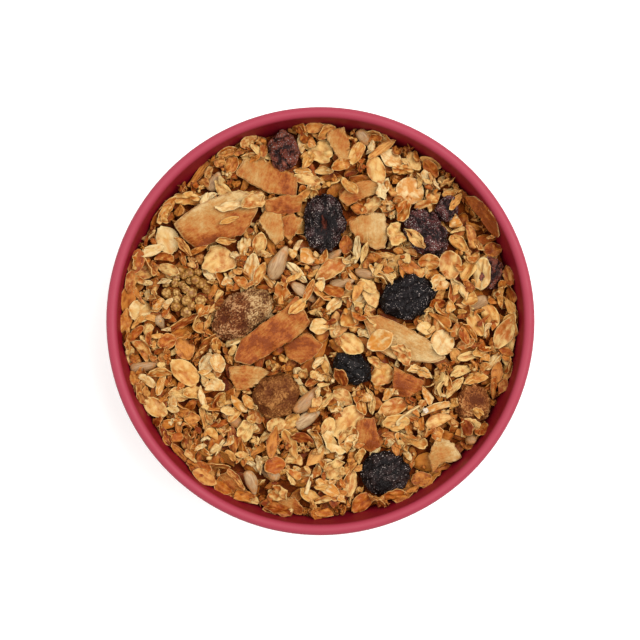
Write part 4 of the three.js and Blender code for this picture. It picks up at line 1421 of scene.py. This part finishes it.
def coconut_chip(number, outline, toast, dark_turn, darker, fibre_turn):
    """A thin sheet with an outline, on the curve of its solid, with a wavy ragged rim."""
    name = f"coconut_chip_{number:02d}"
    sheet = curve_of(name)
    chip = begin(bpy.ops.mesh.primitive_uv_sphere_add, segments=96, ring_count=24, radius=1)
    chip.name = f"toasted_coconut_{number:02d}"
    corners = [from_photo(*corner) for corner in outline]
    middle_x, middle_y = (sum(values) / len(corners) for values in zip(*corners))
    around = [(x - middle_x, y - middle_y) for x, y in corners]
    towards, fibre = math.radians(dark_turn), math.radians(fibre_turn)
    furthest = max(abs(x * math.cos(towards) + y * math.sin(towards)) for x, y in around)
    looks, lie = [], []
    for vertex in chip.data.vertices:
        x, y, z = vertex.co
        rim = min(math.hypot(x, y), 1)
        angle = math.atan2(y, x)
        outwards = Vector((math.cos(angle), math.sin(angle), 0))
        reach = reach_at(around, angle)
        for scale, ragged in ((3, 0.4), (9, 0.16), (26, 0.1)):
            reach += ragged * rim_noise(outwards, scale, number)
        dx, dy = reach * rim * math.cos(angle), reach * rim * math.sin(angle)
        at_x, at_y = middle_x + dx, middle_y + dy
        along = dx * math.cos(fibre) + dy * math.sin(fibre)
        beside = dy * math.cos(fibre) - dx * math.sin(fibre)
        height, normal = sheet(at_x, at_y)
        wave = 0.8 * noise.noise(Vector((at_x / 3.4, at_y / 3.4, number))) * (0.3 + rim**2)
        wave += 0.1 * noise.noise(Vector((along / 2.4, beside / 0.7, number)))
        wave += 0.3 * max(0.0, rim - 0.8) * (1 + 2 * rim_noise(outwards, 4, number + 5))
        half = CHIP_THICKNESS / 2 * min(1.0, abs(z) * 3.2) ** 0.6
        point = Vector((at_x, at_y, height)) + normal * (wave + math.copysign(half, z))
        vertex.co = point * MM
        shade = toast + 0.35 * noise.noise(Vector((at_x / 4, at_y / 4, 4 + number)))
        shade += darker * (dx * math.cos(towards) + dy * math.sin(towards)) / furthest
        shade -= 0.8 * max(0.0, rim - 0.72) * (0.7 + 1.4 * rim_noise(outwards, 3, number + 9))
        looks.append((shade, rim, 0))
        lie.append((along * 0.3, beside, number * 7))
    for key, values in (("looks", looks), ("lie", lie)):
        layer = chip.data.attributes.new(key, "FLOAT_VECTOR", "POINT")
        layer.data.foreach_set("vector", np.array(values, np.float32).ravel())
    bpy.ops.object.shade_smooth()
    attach(chip, "root")
    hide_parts(name)
    return chip


def toasted_coconut():
    material, tree, shader = begin_material("toasted_coconut", 0.45, 0.2)
    place = object_place(tree)
    looks = attribute(tree, "looks", "Vector")
    lie = attribute(tree, "lie", "Vector")
    shade, rim, _ = parts_of(tree, looks)
    mottle = noise_of(tree, place, 640, 4.0, 0.65)
    fibres = noise_of(tree, lie, 1.5, 5.0, 0.7)
    level = maths(tree, "ADD", shade, maths(tree, "MULTIPLY_ADD", mottle, 1.0, -0.5))
    level = maths(tree, "ADD", level, maths(tree, "MULTIPLY_ADD", fibres, 0.8, -0.4))
    ramp = add(tree, "ShaderNodeValToRGB", {0: level})
    stops = ramp.color_ramp.elements
    stops[0].position, stops[0].color = 0.0, srgb(226, 190, 130)
    stops[1].position, stops[1].color = 1.0, srgb(142, 64, 12)
    for position, baked in ((0.35, (206, 152, 84)), (0.62, (196, 124, 54)), (0.82, (178, 92, 28))):
        stops.new(position).color = srgb(*baked)
    patchy = stretch(tree, mottle, 0.35, 0.6, 0.2, 0.9)
    edge = maths(tree, "MULTIPLY", stretch(tree, rim, 0.955, 0.995), patchy)
    colour = blend_colour(tree, edge, ramp.outputs[0], srgb(240, 196, 128))
    line = maths(tree, "MULTIPLY", stretch(tree, rim, 0.88, 0.94), stretch(tree, rim, 0.985, 0.955))
    line = maths(tree, "MULTIPLY", line, stretch(tree, fibres, 0.4, 0.6, 0.15, 0.7))
    colour = blend_colour(tree, line, colour, srgb(150, 72, 20))
    tree.links.new(colour, shader.inputs["Base Color"])
    give_relief(tree, shader, maths(tree, "MULTIPLY_ADD", mottle, 0.6, fibres), 0.8, 0.7 * MM)
    return material


COCONUT_FINISH = toasted_coconut()
for number, outline in CHIPS.items():
    chip = coconut_chip(number, outline, *CHIP_TOAST[number - 1])
    chip.data.materials.append(COCONUT_FINISH)

# ---- Floor, light and camera --------------------------------------------------------------------
# The bowl stands on a plain white table that glows faintly. A large soft light hangs to the right of
# it and a weaker one to the left. The camera looks straight down from under half a metre above it.

floor = begin(bpy.ops.mesh.primitive_plane_add, size=6, location=(0, 0, 0))
floor.name = "table"
bpy.ops.object.transform_apply(location=True, rotation=True, scale=True)
table_finish, tree, shader = begin_material("white_table", roughness=0.8)
place = object_place(tree)
white = blend_colour(tree, noise_of(tree, place, 3), (0.87, 0.87, 0.865, 1), (0.9, 0.9, 0.895, 1))
tree.links.new(white, shader.inputs["Base Color"])
shader.inputs["Emission Strength"].default_value = 0.25
floor.data.materials.append(table_finish)

LIGHTS_AIM = Vector((0, 0, 0.05))


def soft_light(name, position, size, power):
    lamp = bpy.data.lights.new(name, "AREA")
    lamp.size = size
    lamp.energy = power
    holder = bpy.data.objects.new(name, lamp)
    holder.location = position
    holder.rotation_euler = (LIGHTS_AIM - Vector(position)).to_track_quat("-Z", "Y").to_euler()
    bpy.context.scene.collection.objects.link(holder)


soft_light("key_light", position=(0.588, 0.237, 1.242), size=0.9, power=21.8)
soft_light("fill_light", position=(-0.72, 0.2, 1.15), size=1.1, power=8)

world = bpy.data.worlds.new("studio")
bpy.context.scene.world = world
world.use_nodes = True
sky = world.node_tree.nodes["Background"].inputs
sky["Color"].default_value = (1, 0.965, 0.93, 1)
sky["Strength"].default_value = 0.6

camera_data = bpy.data.cameras.new("camera")
camera_data.lens = CAMERA_LENS
camera_data.sensor_width = CAMERA_SENSOR
camera = bpy.data.objects.new("camera", camera_data)
camera.location = (
    CAMERA_AIM_PX[0] * PHOTO_SCALE * MM,
    CAMERA_AIM_PX[1] * PHOTO_SCALE * MM,
    RIM_HEIGHT + CAMERA_ABOVE_RIM * MM,
)
bpy.context.scene.collection.objects.link(camera)
bpy.context.scene.camera = camera
bpy.context.scene.view_settings.view_transform = "Standard"
